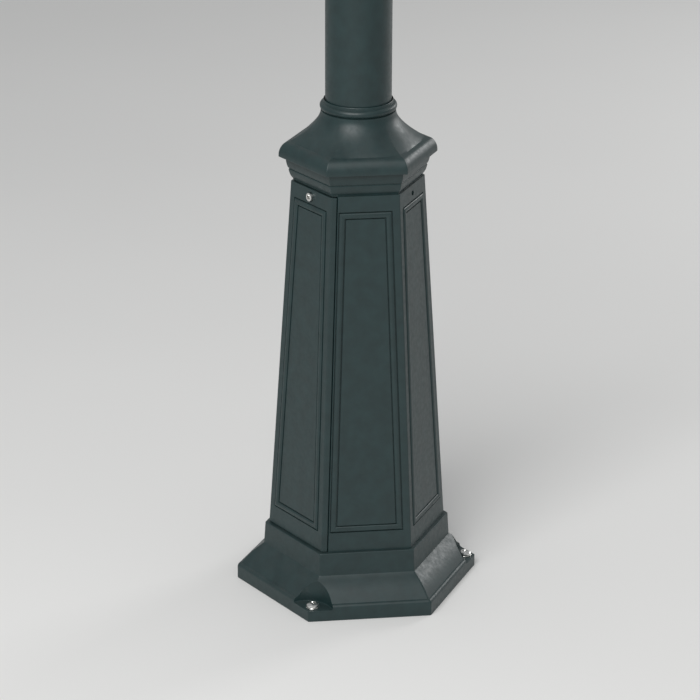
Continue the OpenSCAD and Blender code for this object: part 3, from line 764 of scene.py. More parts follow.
@dataclass(frozen=True)
class RoundHead:
    """Low round-head screw with a cross recess."""

    thread: float
    length: float

    def solid(self) -> Solid:
        """Builds the screw with its seat at the origin."""
        d = self.thread
        head, top, dome = 0.9 * d, 0.6 * d, 1.6 * d
        edge = top - dome + math.sqrt(dome ** 2 - head ** 2)
        rise = [
            (dome * math.sin(t), top - dome + dome * math.cos(t))
            for t in (math.asin(head / dome) * (1 - i / 6) for i in range(1, 6))
        ]
        profile = [(d * 0.36, -self.length), (d / 2, -self.length + 0.14 * d), (d / 2, 0),
                   (head - 0.04 * d, 0), (head, 0.04 * d), (head, edge - 0.03 * d), *rise,
                   (0.05 * d, top)]
        screw = Solid.turned(profile, 40)
        wide, deep = 0.62 * d, 0.34 * d
        for turn in turns((0, 90)):
            blade = Solid.loft([
                [(-wide * k, -w, z), (wide * k, -w, z), (wide * k, w, z), (-wide * k, w, z)]
                for k, w, z in ((0.45, 0.07 * d, top - deep), (1.0, 0.13 * d, top + 0.1 * d))
            ])
            screw.cut(blade.placed(turn))
        return screw.tidy()


@dataclass(frozen=True)
class SocketHead:
    """Cylinder-head screw with a hexagon socket."""

    thread: float
    length: float
    head_r: float
    head_h: float

    def solid(self) -> Solid:
        """Builds the screw with its seat at the origin."""
        d, r, h = self.thread, self.head_r, self.head_h
        edge = 0.1 * d
        profile = [(d * 0.38, -self.length), (d / 2, -self.length + 0.12 * d), (d / 2, 0), (r, 0),
                   (r, h - edge), (r - 0.3 * edge, h - 0.3 * edge), (r - edge, h)]
        socket_r = 0.48 * d
        socket = Solid.turned([(0.02, h * 0.36), (socket_r, h * 0.45), (socket_r, h),
                               (socket_r + edge, h + edge)], 6)
        return Solid.turned(profile, 40).cut(socket).tidy()


@dataclass(frozen=True)
class Washer:
    """Flat washer with broken edges."""

    bore_r: float
    outer_r: float
    thick: float
    edge: float = 0.18

    def solid(self) -> Solid:
        """Builds the washer on z = 0."""
        b, r, h, c = self.bore_r, self.outer_r, self.thick, self.edge
        return Solid.turned([(b, c), (b + c, 0), (r - c, 0), (r, c), (r, h - c), (r - c, h),
                             (b + c, h), (b, h - c)], hollow=True)


@dataclass(frozen=True)
class GrubScrew:
    """Headless set screw with a hexagon socket."""

    thread: float
    length: float

    def solid(self) -> Solid:
        """Builds the screw with its point at z = 0."""
        d, r, h = self.thread, self.thread / 2, self.length
        socket_r = 0.575 * r
        socket = Solid.turned([(0.02, h * 0.45), (socket_r, h * 0.55), (socket_r, h + OVERCUT)], 6)
        screw = Solid.turned([(r * 0.55, 0), (r, 0.12 * d), (r, h - 0.1 * d), (r - 0.1 * d, h)], 36)
        return screw.cut(socket).tidy()


Fastener = RoundHead | SocketHead | Washer | GrubScrew
M8_WASHER = Washer(4.2, 8.0, 1.6)


def bevelled_copy(mesh: bpy.types.Mesh, width: float) -> Solid:
    """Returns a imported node's mesh, merged and with rounded edges, in millimetres."""
    solid = Solid([], [])
    empty, solid.obj.data = solid.obj.data, mesh.copy()
    bpy.data.meshes.remove(empty)
    return solid.placed(Matrix.Scale(1 / MM, 4)).tidy(1.0).soften(width)


# ---------------------------------------------------------------- the pedestal


@dataclass(frozen=True)
class Layout:
    """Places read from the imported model, in millimetres."""

    foot_r: float
    foot_top: float
    body_r: float
    body_top: float
    lobe_r: float
    collar_top: float
    socket_bottom: float
    post_r: float
    post_bottom: float
    post_top: float
    spigot_bottom: float
    spigot_top: float
    body_top_r: float = 77.71
    way_r: float = 81.06
    fixing_r: float = 90.06
    fixing_angles: tuple[float, ...] = (0, 60, 120, 180)
    tongue_half: float = 30.0
    groove_half: float = 32.0
    groove_front: float = 1.5
    groove_w: float = 16.0
    groove_depth: float = 8.0

    @classmethod
    def read(cls) -> "Layout":
        """Reads the places from the nodes' boxes."""
        low, high = {}, {}
        for node in ("foot_casting", "body_casting", "cornice_collar", "post_tube",
                     "top_spigot"):
            a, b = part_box(node)
            low[node], high[node] = a / MM, b / MM
        return cls(
            foot_r=high["foot_casting"].x, foot_top=high["foot_casting"].z,
            body_r=high["body_casting"].x, body_top=high["body_casting"].z,
            lobe_r=high["cornice_collar"].x, collar_top=high["cornice_collar"].z,
            socket_bottom=low["cornice_collar"].z, post_r=high["post_tube"].x,
            post_bottom=low["post_tube"].z, post_top=high["post_tube"].z,
            spigot_bottom=low["top_spigot"].z, spigot_top=high["top_spigot"].z,
        )

    @property
    def apothem(self) -> float:
        """Half the body's width across its flats, at the bottom."""
        return self.body_r * COS30

    @property
    def lean(self) -> float:
        """Angle that the body's faces lean in by, in radians."""
        return math.atan((self.body_r - self.body_top_r) * COS30 / (self.body_top - self.foot_top))

    @property
    def slope(self) -> float:
        """Length of a body face, up its slope."""
        return (self.body_top - self.foot_top) / math.cos(self.lean)

    def face(self, angle: float) -> Matrix:
        """Returns the frame of the body face whose normal is at an angle in degrees."""
        return (Matrix.Rotation(math.radians(angle + 90), 4, "Z")
                @ Matrix.Translation((0, -self.apothem, self.foot_top))
                @ Matrix.Rotation(math.radians(90) - self.lean, 4, "X"))

    def half(self, v: float) -> float:
        """Returns half a face's width at the distance v up its slope."""
        return mix(self.body_r, self.body_top_r, v / self.slope) / 2

    def outline(self, v0: float, v1: float, inset: float) -> list[tuple[float, float]]:
        """Returns a face's outline between two distances up its slope, its sides moved in."""
        low, high = self.half(v0) - inset, self.half(v1) - inset
        return [(-low, v0), (low, v0), (high, v1), (-high, v1)]

    def way(self, low: float, high: float) -> Solid:
        """Returns the tool for the wire way between the foot and the body."""
        return Solid.loft([hexagon_ring(self.way_r, z, 3.0) for z in (low, high)])

    def seat(self, angle: float, v: float, depth: float) -> tuple[Point, Point]:
        """Returns a seat on a face's centre line: its point and the face's normal."""
        matrix = self.face(angle)
        point = matrix @ Vector((0, v, -depth))
        return tuple(point), tuple(matrix.to_3x3() @ Vector((0, 0, 1)))


@dataclass(frozen=True)
class PanelBead:
    """Half-round bead between two fine quirks, mitred round a body face."""

    side: float = 9.7
    top: float = 19.5
    bottom: float = 25.0
    width: float = 6.8
    height: float = 1.5
    quirk_w: float = 1.25
    quirk_d: float = 1.8

    def _frame(self, layout: Layout, section: Profile) -> Solid:
        """Sweeps a section of (inset, height) round the panel."""
        rings = []
        for inset, height in section:
            outline = layout.outline(self.bottom + inset, layout.slope - self.top - inset,
                                     self.side + inset)
            rings.append([(x, y, height) for x, y in outline])
        return Solid.loft(rings, closed=True)

    def groove(self, layout: Layout) -> Solid:
        """Returns the tool that sinks the two quirks, on the face's own frame."""
        q, d = self.quirk_w, self.quirk_d
        return self._frame(layout, [(self.width + q, 3.0), (self.width + q - 0.25, -d),
                                    (0.25 - q, -d), (-q, 3.0)])

    def bead(self, layout: Layout) -> Solid:
        """Returns the bead, sunk a little below its quirks, on the face's own frame."""
        half, rise = self.width / 2, self.height + self.quirk_d
        arc = [(half - half * math.cos(math.pi * i / 8),
                rise * math.sin(math.pi * i / 8) ** 0.55 - self.quirk_d) for i in range(9)]
        arc[0], arc[-1] = (0.0, -self.quirk_d), (self.width, -self.quirk_d)
        base = -self.quirk_d - 1.0
        return self._frame(layout, [(0.0, base), *arc, (self.width, base)])


@dataclass
class Assembly:
    """What every sub-assembly is built from."""

    layout: Layout
    finishes: Finishes
    repeater: Repeater

    def fasten(self, name: str, finish: Finish, node: str, shape: Fastener, seats: Seats,
               spread: float = 0.0, seed: int = 1, body: Body = Body.PEDESTAL) -> None:
        """Sets a fastener on its seats.

        Args:
            name: Name of the piece.
            finish: Its finish.
            node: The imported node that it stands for.
            shape: The fastener.
            seats: Where it goes.
            spread: How far copies may turn about their own axis, in radians.
            seed: Seed of those turns.
            body: The body that it rides on.
        """
        piece = Piece(name, finish, node, body, FINE_CREASE)
        self.repeater.build(shape.solid(), seats, piece, spread, seed)


@dataclass
class Foot(Assembly):
    """Foot casting with scooped anchor pockets, and its three anchors."""

    rim: float = 15.0
    rim_round: float = 5.0
    band_z: float = 45.0
    band_bottom_r: float = 112.8
    band_top_r: float = 111.08
    bulge: float = 1.2
    wall: float = 6.0
    web_z: float = 58.0
    web_top: float = 64.0
    boss_r: float = 8.0
    boss_h: float = 14.0
    tap_depth: float = 10.0
    pocket_centre: float = 148.9
    pocket_r: float = 31.0
    pocket_floor: float = 14.0
    pocket_round: float = 1.6
    anchor_r: float = 133.0
    anchor_angles: tuple[float, ...] = (60, 180, 300)
    plate_screws: tuple[tuple[float, float], ...] = ((-30, 25), (30, 25))
    gland_place: tuple[float, float] = (0, -36)
    gland_hole_r: float = 12.55

    def profile(self) -> list[tuple[float, float, float]]:
        """Returns the outside as (corner radius, height, corner rounding)."""
        r, top = self.layout.foot_r, self.layout.foot_top
        start_r, start_z = r - self.rim_round, self.rim + self.rim_round
        points = [(r - 0.7, 0.0, 3.0), (r, 0.7, 3.0)]
        points += [(x, z, 3.2) for x, z in arc_run((start_r, self.rim), self.rim_round, 0, 90, 7)]
        for i in range(1, 12):
            t = i / 12
            swell = self.bulge * math.sin(math.pi * t)
            points.append((mix(start_r, self.band_bottom_r, t) + swell,
                           mix(start_z, self.band_z, t) + swell, mix(3.2, 2.4, t)))
        foot_of_band = self.band_bottom_r
        points += [(foot_of_band + 0.3, self.band_z + 0.2, 2.2),
                   (foot_of_band, self.band_z + 0.6, 2.2),
                   (foot_of_band - 0.1, self.band_z + 2.0, 2.2)]
        edge = ((-0.05, 1.3), (0.15, 0.55), (0.6, 0.12), (1.3, 0.0))
        return points + [(self.band_top_r - inset, top - drop, 2.6) for inset, drop in edge]

    def outer(self) -> Solid:
        """Returns the outside as one block."""
        return Solid.loft([hexagon_ring(r, z, rounding) for r, z, rounding in self.profile()])

    def hollow(self) -> Solid:
        """Returns the space under the foot, up to its web."""
        rim_r = self.layout.foot_r - self.wall
        return Solid.loft([hexagon_ring(r, z, 3.0) for r, z in (
            (rim_r, -OVERCUT), (rim_r, self.rim - 4),
            (self.band_bottom_r - self.wall, self.band_z - self.wall + 2),
            (self.band_top_r - self.wall - 1, self.web_z))])

    def stiffeners(self) -> list[Solid]:
        """Returns the walls round the pockets and the bosses of the body's screws."""
        layout, top = self.layout, self.web_z + 1
        pads = Solid.cylinder(self.pocket_r + self.wall, 0, top, 72)
        pads.around(self.pocket_centre, self.anchor_angles)
        bosses = Solid.cylinder(self.boss_r, self.web_z - self.boss_h, top, 32)
        return [self.outer().keep(pads), bosses.around(layout.fixing_r, layout.fixing_angles)]

    def scoops(self) -> Solid:
        """Returns the tool for the anchor pockets."""
        r, floor, c = self.pocket_r, self.pocket_floor, self.pocket_round
        scoop = Solid.turned([(0.05, floor), (r - c, floor), (r - 0.5, floor + 0.5),
                              (r, floor + c), (r, self.layout.foot_top)], 96)
        return scoop.around(self.pocket_centre, self.anchor_angles)

    def bores(self) -> list[Solid]:
        """Returns the tools for the holes and for the groove of the door's tongue."""
        layout, top = self.layout, self.layout.foot_top
        anchors = Solid.cylinder(M8 / 2 + HOLE_PLAY, -OVERCUT, self.pocket_floor + 3, 32)
        taps = Solid.cylinder(M8 / 2 + TAP_PLAY, self.web_z - self.tap_depth, top + 5, 32)
        front = layout.groove_front - layout.apothem
        groove = Solid.block((-layout.groove_half, front, top - layout.groove_depth),
                             (layout.groove_half, front + layout.groove_w, top + OVERCUT))
        web = [Solid.cylinder(r, self.web_z - OVERCUT, self.web_top + OVERCUT, 40).at(x, y, 0)
               for r, (x, y) in (*((M6 / 2 + TAP_PLAY, spot) for spot in self.plate_screws),
                                 (self.gland_hole_r, self.gland_place))]
        return [anchors.around(self.anchor_r, self.anchor_angles),
                taps.around(layout.fixing_r, layout.fixing_angles), groove, *web]

    def shell(self) -> Solid:
        """Builds the casting."""
        way = self.layout.way(self.web_top, self.layout.foot_top + OVERCUT)
        casting = self.outer().cut(self.hollow(), way)
        casting.add(*self.stiffeners()).cut(self.scoops(), *self.bores())
        return casting.soften(0.55)

    def build(self) -> None:
        """Builds the casting, the anchors and their washers."""
        f, floor = self.finishes, self.pocket_floor
        self.shell().finish(Piece("foot", f.casting, "foot_casting"))
        washer_top = floor + M8_WASHER.thick
        self.fasten("anchors", f.bright_steel, "anchor_screws", RoundHead(M8, washer_top),
                    ring_seats(self.anchor_angles, self.anchor_r, [washer_top]),
                    spread=math.pi / 2, seed=4)
        self.fasten("anchor_washer_set", f.bright_steel, "anchor_washers", M8_WASHER,
                    ring_seats(self.anchor_angles, self.anchor_r, [floor]))


@dataclass
class PanelledBody(Assembly):
    """Tapered body with its panels, door opening and screws."""

    bead: PanelBead = PanelBead()
    corner: float = 2.2
    wall: float = 5.0
    flange: float = 7.0
    recess: float = 7.5
    jamb: float = 4.0
    jamb_w: float = 14.0
    window_bottom: float = 24.0
    window_top: float = 38.0
    door_side: float = 2.85
    door_gap: float = 1.0
    door_t: float = 6.0
    tongue_front: float = 2.5
    tongue_t: float = 3.0
    tongue_drop: float = 7.0
    tongue_root: float = 5.0
    notch_w: float = 23.0
    gasket_t: float = 1.4
    gasket_bottom: float = 14.0
    gasket_top: float = 2.0
    gasket_side: float = 3.0
    boss_r: float = 7.0
    screw_drop: float = 10.0
    screw_tip: float = 8.5
    head_r: float = 4.98
    door_head_h: float = 6.0
    head_h: float = 2.6
    counterbore: float = 3.0
    counterbore_r: float = 5.28
    door_hole_r: float = 3.3
    ring_hole_r: float = 4.8
    ring_depth: float = 15.4
    plain_faces: tuple[float, ...] = (30, 90, 150, 210, 330)
    screw_faces: tuple[float, ...] = (30, 150)
    door_face: float = 270

    @property
    def screw_v(self) -> float:
        """How far up a face its screw sits."""
        layout = self.layout
        return (layout.body_top - layout.foot_top - self.screw_drop) / math.cos(layout.lean)

    @property
    def back(self) -> float:
        """Depth of the jamb's back behind the face."""
        return self.recess + self.jamb

    @property
    def floor(self) -> float:
        """Height of the flange's top."""
        return self.layout.foot_top + self.flange

    def outer(self) -> Solid:
        """Returns the tapered block with rounded corners."""
        layout = self.layout
        return Solid.loft([hexagon_ring(layout.body_r, layout.foot_top, self.corner),
                           hexagon_ring(layout.body_top_r, layout.body_top, self.corner)])

    def zone(self, depth: float, side: float, v0: float, v1: float) -> Solid:
        """Returns all that lies in front of a plane behind the door's face."""
        clear_of_bead = 20.0
        slab = Solid.slab(self.layout.outline(v0, v1, -side), -depth, clear_of_bead)
        return slab.placed(self.layout.face(self.door_face))

    def bore(self, angle: float, radius: float, depth0: float, depth1: float) -> Solid:
        """Returns a bore along a face's normal, between two depths."""
        tool = Solid.cylinder(radius, -depth1, -depth0, 40).at(0, self.screw_v, 0)
        return tool.placed(self.layout.face(angle))

    def window(self, depth0: float, depth1: float, inset: float) -> Solid:
        """Returns the opening's prism between two depths."""
        layout = self.layout
        outline = layout.outline(self.window_bottom, layout.slope - self.window_top, inset)
        return Solid.slab(outline, -depth1, -depth0).placed(layout.face(self.door_face))

    def hollow(self) -> Solid:
        """Returns the space inside, above the flange and behind the door's jamb."""
        layout, wall_r, meet = self.layout, self.wall / COS30, 0.01
        hollow = Solid.loft([
            hexagon_ring(layout.body_r - wall_r, layout.foot_top - meet, 1.5),
            hexagon_ring(layout.body_top_r - wall_r, layout.body_top + meet, 1.5)])
        flange = Solid.loft([hexagon_ring(layout.body_r + 5, z, 1.0)
                             for z in (layout.foot_top - OVERCUT, self.floor)])
        beyond = 150.0
        jamb = Solid.block((-beyond, -10, -self.back), (beyond, 2 * layout.slope, -self.recess))
        return hollow.cut(flange, jamb.placed(layout.face(self.door_face)))

    def openings(self) -> list[Solid]:
        """Returns the tools for the door's place, the screws and the tongue's groove."""
        layout, bottom, through = self.layout, self.layout.foot_top, self.back + OVERCUT
        tools = [self.zone(self.recess, self.door_side + self.door_gap, -5, layout.slope + 5),
                 self.window(-10, self.back + 10, self.jamb_w),
                 self.bore(self.door_face, self.ring_hole_r, 0, through)]
        for angle in self.screw_faces:
            tools += [self.bore(angle, M6 / 2 + TAP_PLAY, -OVERCUT, through),
                      self.bore(angle, self.counterbore_r, -5, self.counterbore)]
        holes = Solid.cylinder(M8 / 2 + HOLE_PLAY, bottom - OVERCUT, self.floor + OVERCUT, 32)
        notch = Solid.block(
            (-layout.groove_half, -layout.apothem - OVERCUT, bottom - OVERCUT),
            (layout.groove_half, self.notch_w - layout.apothem, self.floor + 2 * OVERCUT))
        return [*tools, holes.around(layout.fixing_r, layout.fixing_angles), notch]

    def shell(self) -> Solid:
        """Builds the body casting."""
        layout = self.layout
        way = layout.way(layout.foot_top - OVERCUT, self.floor + OVERCUT)
        body = self.outer().cut(self.hollow(), way)
        faces = [layout.face(angle) for angle in self.plain_faces]
        body.cut(self.bead.groove(layout).copies(faces))
        body.add(self.bead.bead(layout).copies(faces))
        body.add(*(self.bore(angle, self.boss_r, self.wall - 1, self.back)
                   for angle in self.screw_faces))
        return body.cut(*self.openings()).soften(0.35, angle_deg=40)

    def door(self) -> Solid:
        """Builds the door with its bead and tongue."""
        layout, angle, behind = self.layout, self.door_face, self.door_t + OVERCUT
        door = self.outer().keep(self.zone(self.door_t, self.door_side, self.door_gap,
                                           layout.slope - self.door_gap))
        door.cut(self.bead.groove(layout).placed(layout.face(angle)))
        half, front, z = layout.tongue_half, self.tongue_front - layout.apothem, layout.foot_top
        tongue = Solid.block((-half, front, z - self.tongue_drop),
                             (half, front + self.tongue_t, z + self.tongue_root))
        door.add(self.bead.bead(layout).placed(layout.face(angle)), tongue)
        door.cut(self.window(self.door_t - 2, behind, self.jamb_w),
                 self.bore(angle, self.door_hole_r, -5, behind),
                 self.bore(angle, self.counterbore_r, -5, self.counterbore))
        return door.soften(0.4, angle_deg=40)

    def gasket(self) -> Solid:
        """Builds the gasket with rounded edges."""
        layout = self.layout
        outline = layout.outline(self.gasket_bottom, layout.slope - self.gasket_top,
                                 self.gasket_side)
        sheet = Solid.slab(outline, -self.recess, self.gasket_t - self.recess)
        sheet.placed(layout.face(self.door_face))
        sheet.cut(self.window(0, self.back, self.jamb_w),
                  self.bore(self.door_face, self.ring_hole_r, 0, self.back))
        return sheet.soften(0.4, 3)

    def face_screw(self, head_h: float) -> SocketHead:
        """Returns the screw that reaches from its counterbore into the collar's lug."""
        length = self.back + self.screw_tip - self.counterbore
        return SocketHead(M6, length, self.head_r, head_h)

    def screw_seats(self, angles: Iterable[float], depth: float) -> Seats:
        """Returns seats on the screws' axes, at a depth behind the faces."""
        return Seats([self.layout.seat(angle, self.screw_v, depth) for angle in angles])

    def build(self) -> None:
        """Builds the body, the door, the gasket and their screws."""
        f, layout = self.finishes, self.layout
        self.shell().finish(Piece("body", f.casting, "body_casting"))
        self.door().finish(Piece("door", f.casting, "access_door", Body.DOOR))
        self.gasket().finish(Piece("gasket", f.rubber, "door_gasket"))
        self.fasten("door_lock_screw", f.bright_steel, "door_screw",
                    self.face_screw(self.door_head_h),
                    self.screw_seats([self.door_face], self.counterbore), body=Body.SCREW)
        self.fasten("painted_face_screws", f.casting, "face_screws",
                    self.face_screw(self.head_h),
                    self.screw_seats(self.screw_faces, self.counterbore), spread=1.0, seed=2)
        self.fasten("retaining_ring", f.zinc, "screw_retainer",
                    Washer(M6 / 2 + TAP_PLAY, 4.2, 1.2),
                    self.screw_seats([self.door_face], self.ring_depth), body=Body.RETAINER)
        self.fasten("body_washers", f.zinc, "body_screw_washers", M8_WASHER,
                    ring_seats(layout.fixing_angles, layout.fixing_r, [self.floor]))
        self.fasten("body_fixing_screws", f.zinc, "body_screws",
                    SocketHead(M8, self.flange + 15, 6.4, 8.0),
                    ring_seats(layout.fixing_angles, layout.fixing_r,
                               [self.floor + M8_WASHER.thick]), spread=1.0, seed=3)


@dataclass
class Cornice(Assembly):
    """Collar that turns from the hexagon into the round post, with its socket."""

    body: PanelledBody
    base_r: float = 75.23
    lobe_top_r: float = 80.43
    neck_r: float = 43.0
    ring_r: float = 44.2
    lip_r: float = 40.2
    flare_top: float = 588.0
    lobe_top: float = 552.0
    flare_power: float = 1.9
    blend_power: float = 3.0
    flare_steps: int = 24
    socket_r: float = 45.0
    hollow_inset: float = 6.2
    hollow_neck: float = 7.0
    hollow_top_inset: float = 12.0
    hollow_neck_rise: float = 12.6
    seal_w: float = 1.6
    seal_depth: float = 9.0
    way_inset: float = 4.0
    lug_half: float = 10.0
    lug_front: float = 12.0
    lug_back: float = 34.0
    screw_bore_end: float = 22.0
    ring_hole_end: float = 16.0
    door_tap_r: float = 3.7
    set_angles: tuple[float, ...] = (90, 210, 330)
    set_rise: float = 10.0

    @property
    def screw_faces(self) -> tuple[float, ...]:
        """Faces of the body whose screws end in a lug of the collar."""
        return (self.body.door_face, *self.body.screw_faces)

    def mouldings(self) -> list[tuple[float, float]]:
        """Returns the profile from the fillet up to the top of the lobe."""
        r, z, lobe = self.base_r, self.layout.body_top, self.layout.lobe_r
        fillet = [(r, z), (r + 0.1, z + 1.2), (r + 0.5, z + 2.0), (r + 0.9, z + 2.6)]
        lower = smooth_run([(r + 1.6, z + 3.3), (r + 3.4, z + 6.2), (r + 4.6, z + 9.6),
                            (r + 5.3, z + 12.4)], 4)
        quirk = [(r + 5.2, z + 13.0), (r + 4.5, z + 13.5), (r + 4.8, z + 14.3)]
        upper = smooth_run([(r + 5.9, z + 14.9), (r + 7.2, z + 18.2), (r + 8.2, z + 22.4),
                            (r + 8.6, z + 26.4)], 4)
        soffit = [(r + 8.6, z + 27.2), (r + 9.0, z + 27.7), (lobe - 0.8, z + 28.1),
                  (lobe - 0.3, z + 28.3), (lobe - 0.05, z + 28.8)]
        lobe_run = smooth_run([(lobe, z + 29.6), (lobe - 0.3, z + 33.4), (lobe - 1.6, z + 37.6),
                               (lobe - 4.2, z + 41.8), (lobe - 7.4, z + 44.6),
                               (self.lobe_top_r, z + 46.0)], 4)
        return fillet + lower + quirk + upper + soffit + lobe_run

    def rings(self) -> list[Ring]:
        """Returns every ring of the outside, hexagons first and circles last."""
        rings = [hexagon_ring(r, z, 1.2) for r, z in self.mouldings()]
        flare_r, low = self.lobe_top_r - 0.6, self.lobe_top + 0.05
        for i in range(self.flare_steps + 1):
            t = i / self.flare_steps
            r = mix(self.neck_r, flare_r, (1 - t) ** self.flare_power)
            rings.append(hexagon_ring(r, mix(low, self.flare_top, t), mix(1.6, 12.0, t),
                                      1 - (1 - t) ** self.blend_power))
        top = self.layout.collar_top
        bead = arc_run((self.ring_r - 4.6, self.flare_top + 5.1), 4.6, -70, 80, 14)
        lip = [(self.lip_r, top - 2.6), (self.lip_r, top - 0.9), (self.lip_r - 0.25, top - 0.25),
               (self.lip_r - 0.5, top)]
        rings += [hexagon_ring(r, z, 12.0, 1.0) for r, z in bead + lip]
        return rings

    def hollow(self) -> Solid:
        """Returns the space inside the collar, round its socket and the lugs."""
        layout, wide = self.layout, self.base_r - self.hollow_inset
        hollow = Solid.loft([hexagon_ring(r, z, 2.0) for r, z in (
            (wide, layout.body_top - 1), (wide, layout.body_top + 30),
            (self.lobe_top_r - self.hollow_top_inset, self.lobe_top - 2),
            (self.neck_r + self.hollow_neck, self.lobe_top + self.hollow_neck_rise))])
        hollow.cut(Solid.cylinder(self.socket_r, layout.socket_bottom, layout.collar_top, 96))
        for turn in turns(self.screw_faces):
            web = Solid.block((self.socket_r - 2, -self.lug_half, layout.socket_bottom),
                              (self.socket_r + 10, self.lug_half, layout.body_top + 8))
            hollow.cut(web.placed(turn))
        return hollow

    def bores(self) -> list[Solid]:
        """Returns the tools for the post, the wires, the seal and the screws."""
        layout, body, r = self.layout, self.body, self.layout.post_r
        above, end = layout.collar_top + 5, self.screw_bore_end
        tools = [Solid.cylinder(radius, low, high, 96) for radius, low, high in (
            (r + 0.05, layout.post_bottom, above),
            (r - self.way_inset, layout.socket_bottom - OVERCUT, layout.post_bottom + 5),
            (r + self.seal_w, layout.collar_top - self.seal_depth, above))]
        tools += [body.bore(body.door_face, self.door_tap_r, body.back, end),
                  body.bore(body.door_face, body.ring_hole_r, body.back, self.ring_hole_end)]
        tools += [body.bore(angle, M6 / 2 + TAP_PLAY, body.back, end)
                  for angle in body.screw_faces]
        tap = Solid.cylinder(M8 / 2 + TAP_PLAY, r - OVERCUT, self.socket_r + 4, 32)
        tap.placed(Matrix.Rotation(math.radians(90), 4, "Y"))
        tap.at(0, 0, layout.socket_bottom + self.set_rise)
        return [*tools, tap.around(0, self.set_angles)]

    def shell(self) -> Solid:
        """Builds the collar casting."""
        layout, half, v = self.layout, self.lug_half, self.body.screw_v
        collar = Solid.loft(self.rings())
        collar.add(Solid.cylinder(self.socket_r, layout.socket_bottom, layout.body_top + 2, 96))
        lugs = Solid.block((-half, v - half, -self.lug_back), (half, v + half, -self.lug_front))
        collar.add(lugs.copies([layout.face(angle) for angle in self.screw_faces]))
        return collar.cut(self.hollow(), *self.bores()).soften(0.3, angle_deg=50)

    def build(self) -> None:
        """Builds the collar and its set screws."""
        f, layout = self.finishes, self.layout
        self.shell().finish(Piece("collar", f.casting, "cornice_collar", crease_deg=30.0))
        self.fasten("post_set_screws", f.zinc, "socket_set_screws", GrubScrew(M8, 9.0),
                    ring_seats(self.set_angles, layout.post_r + 0.1,
                               [layout.socket_bottom + self.set_rise], outward=True))


@dataclass
class Post(Assembly):
    """Post tube, its seal, and the spigot for the upper post."""

    wall: float = 3.0
    edge: float = 0.4
    spigot_wall: float = 4.0
    spigot_gap: float = 1.0
    screw_drops: tuple[float, ...] = (15.0, 42.0)
    screw_angles: tuple[float, ...] = (30, 150, 270)
    groove_rises: tuple[float, ...] = (12.0, 36.0)
    sides: int = 128

    @property
    def bore_r(self) -> float:
        """Radius of the tube's bore."""
        return self.layout.post_r - self.wall

    @property
    def screw_z(self) -> list[float]:
        """Heights of the cross screws."""
        return [self.layout.post_top - drop for drop in self.screw_drops]

    def _turned(self, profile: Profile) -> Solid:
        """Turns a closed profile and drills it for the cross screws."""
        reach = self.bore_r - self.spigot_wall - 3, self.layout.post_r + 3
        drill = Solid.cylinder(M5 / 2 + TAP_PLAY, *reach, 28)
        drill.placed(Matrix.Rotation(math.radians(90), 4, "Y"))
        drill.copies([turn @ Matrix.Translation((0, 0, z))
                      for z in self.screw_z for turn in turns(self.screw_angles)])
        return Solid.turned(profile, self.sides, hollow=True).cut(drill)

    def tube(self) -> Solid:
        """Builds the tube with broken edges."""
        r, b, c = self.layout.post_r, self.bore_r, self.edge
        low, top = self.layout.post_bottom, self.layout.post_top
        return self._turned([(b, low + c), (b + c, low), (r - c, low), (r, low + c),
                             (r, top - c), (r - c, top), (b + c, top), (b, top - c)])

    def spigot(self) -> Solid:
        """Builds the spigot with its shoulder, chamfer and turning grooves."""
        layout, c = self.layout, self.edge
        fit_r, r, b = (self.bore_r - gap for gap in (0.05, self.spigot_gap, self.spigot_wall))
        low, seat, top = layout.spigot_bottom, layout.post_top, layout.spigot_top
        profile = [(b, low + c), (b + c, low), (fit_r - 1.5, low), (fit_r, low + 1.5),
                   (fit_r, seat), (r, seat)]
        for z in (seat + rise for rise in self.groove_rises):
            profile += [(r, z), (r - 0.5, z + 0.4), (r - 0.5, z + 1.4), (r, z + 1.8)]
        return self._turned([*profile, (r, top - 2), (r - 2, top), (b + c, top), (b, top - c)])

    def seal(self) -> Solid:
        """Builds the seal with a rounded top."""
        half, top = 0.75, self.layout.collar_top - 1.5
        inner = self.layout.post_r + 0.05
        crown = arc_run((inner + half, top - half), half, 0, 180, 8)
        foot = [(inner, top - 6), (inner + 2 * half, top - 6)]
        return Solid.turned([*foot, *crown], self.sides, hollow=True)

    def build(self) -> None:
        """Builds the post, the seal, the spigot and its screws."""
        f = self.finishes
        self.tube().finish(Piece("post", f.post, "post_tube"))
        self.spigot().finish(Piece("upper_post_spigot", f.spigot, "top_spigot"))
        self.seal().finish(Piece("seal_ring", f.rubber, "post_seal"))
        self.fasten("spigot_cross_screws", f.zinc, "spigot_screws",
                    SocketHead(M5, self.wall + self.spigot_wall + 0.2, 5.0, 2.6),
                    ring_seats(self.screw_angles, self.layout.post_r + 0.3, self.screw_z,
                               outward=True), spread=1.0, seed=5)


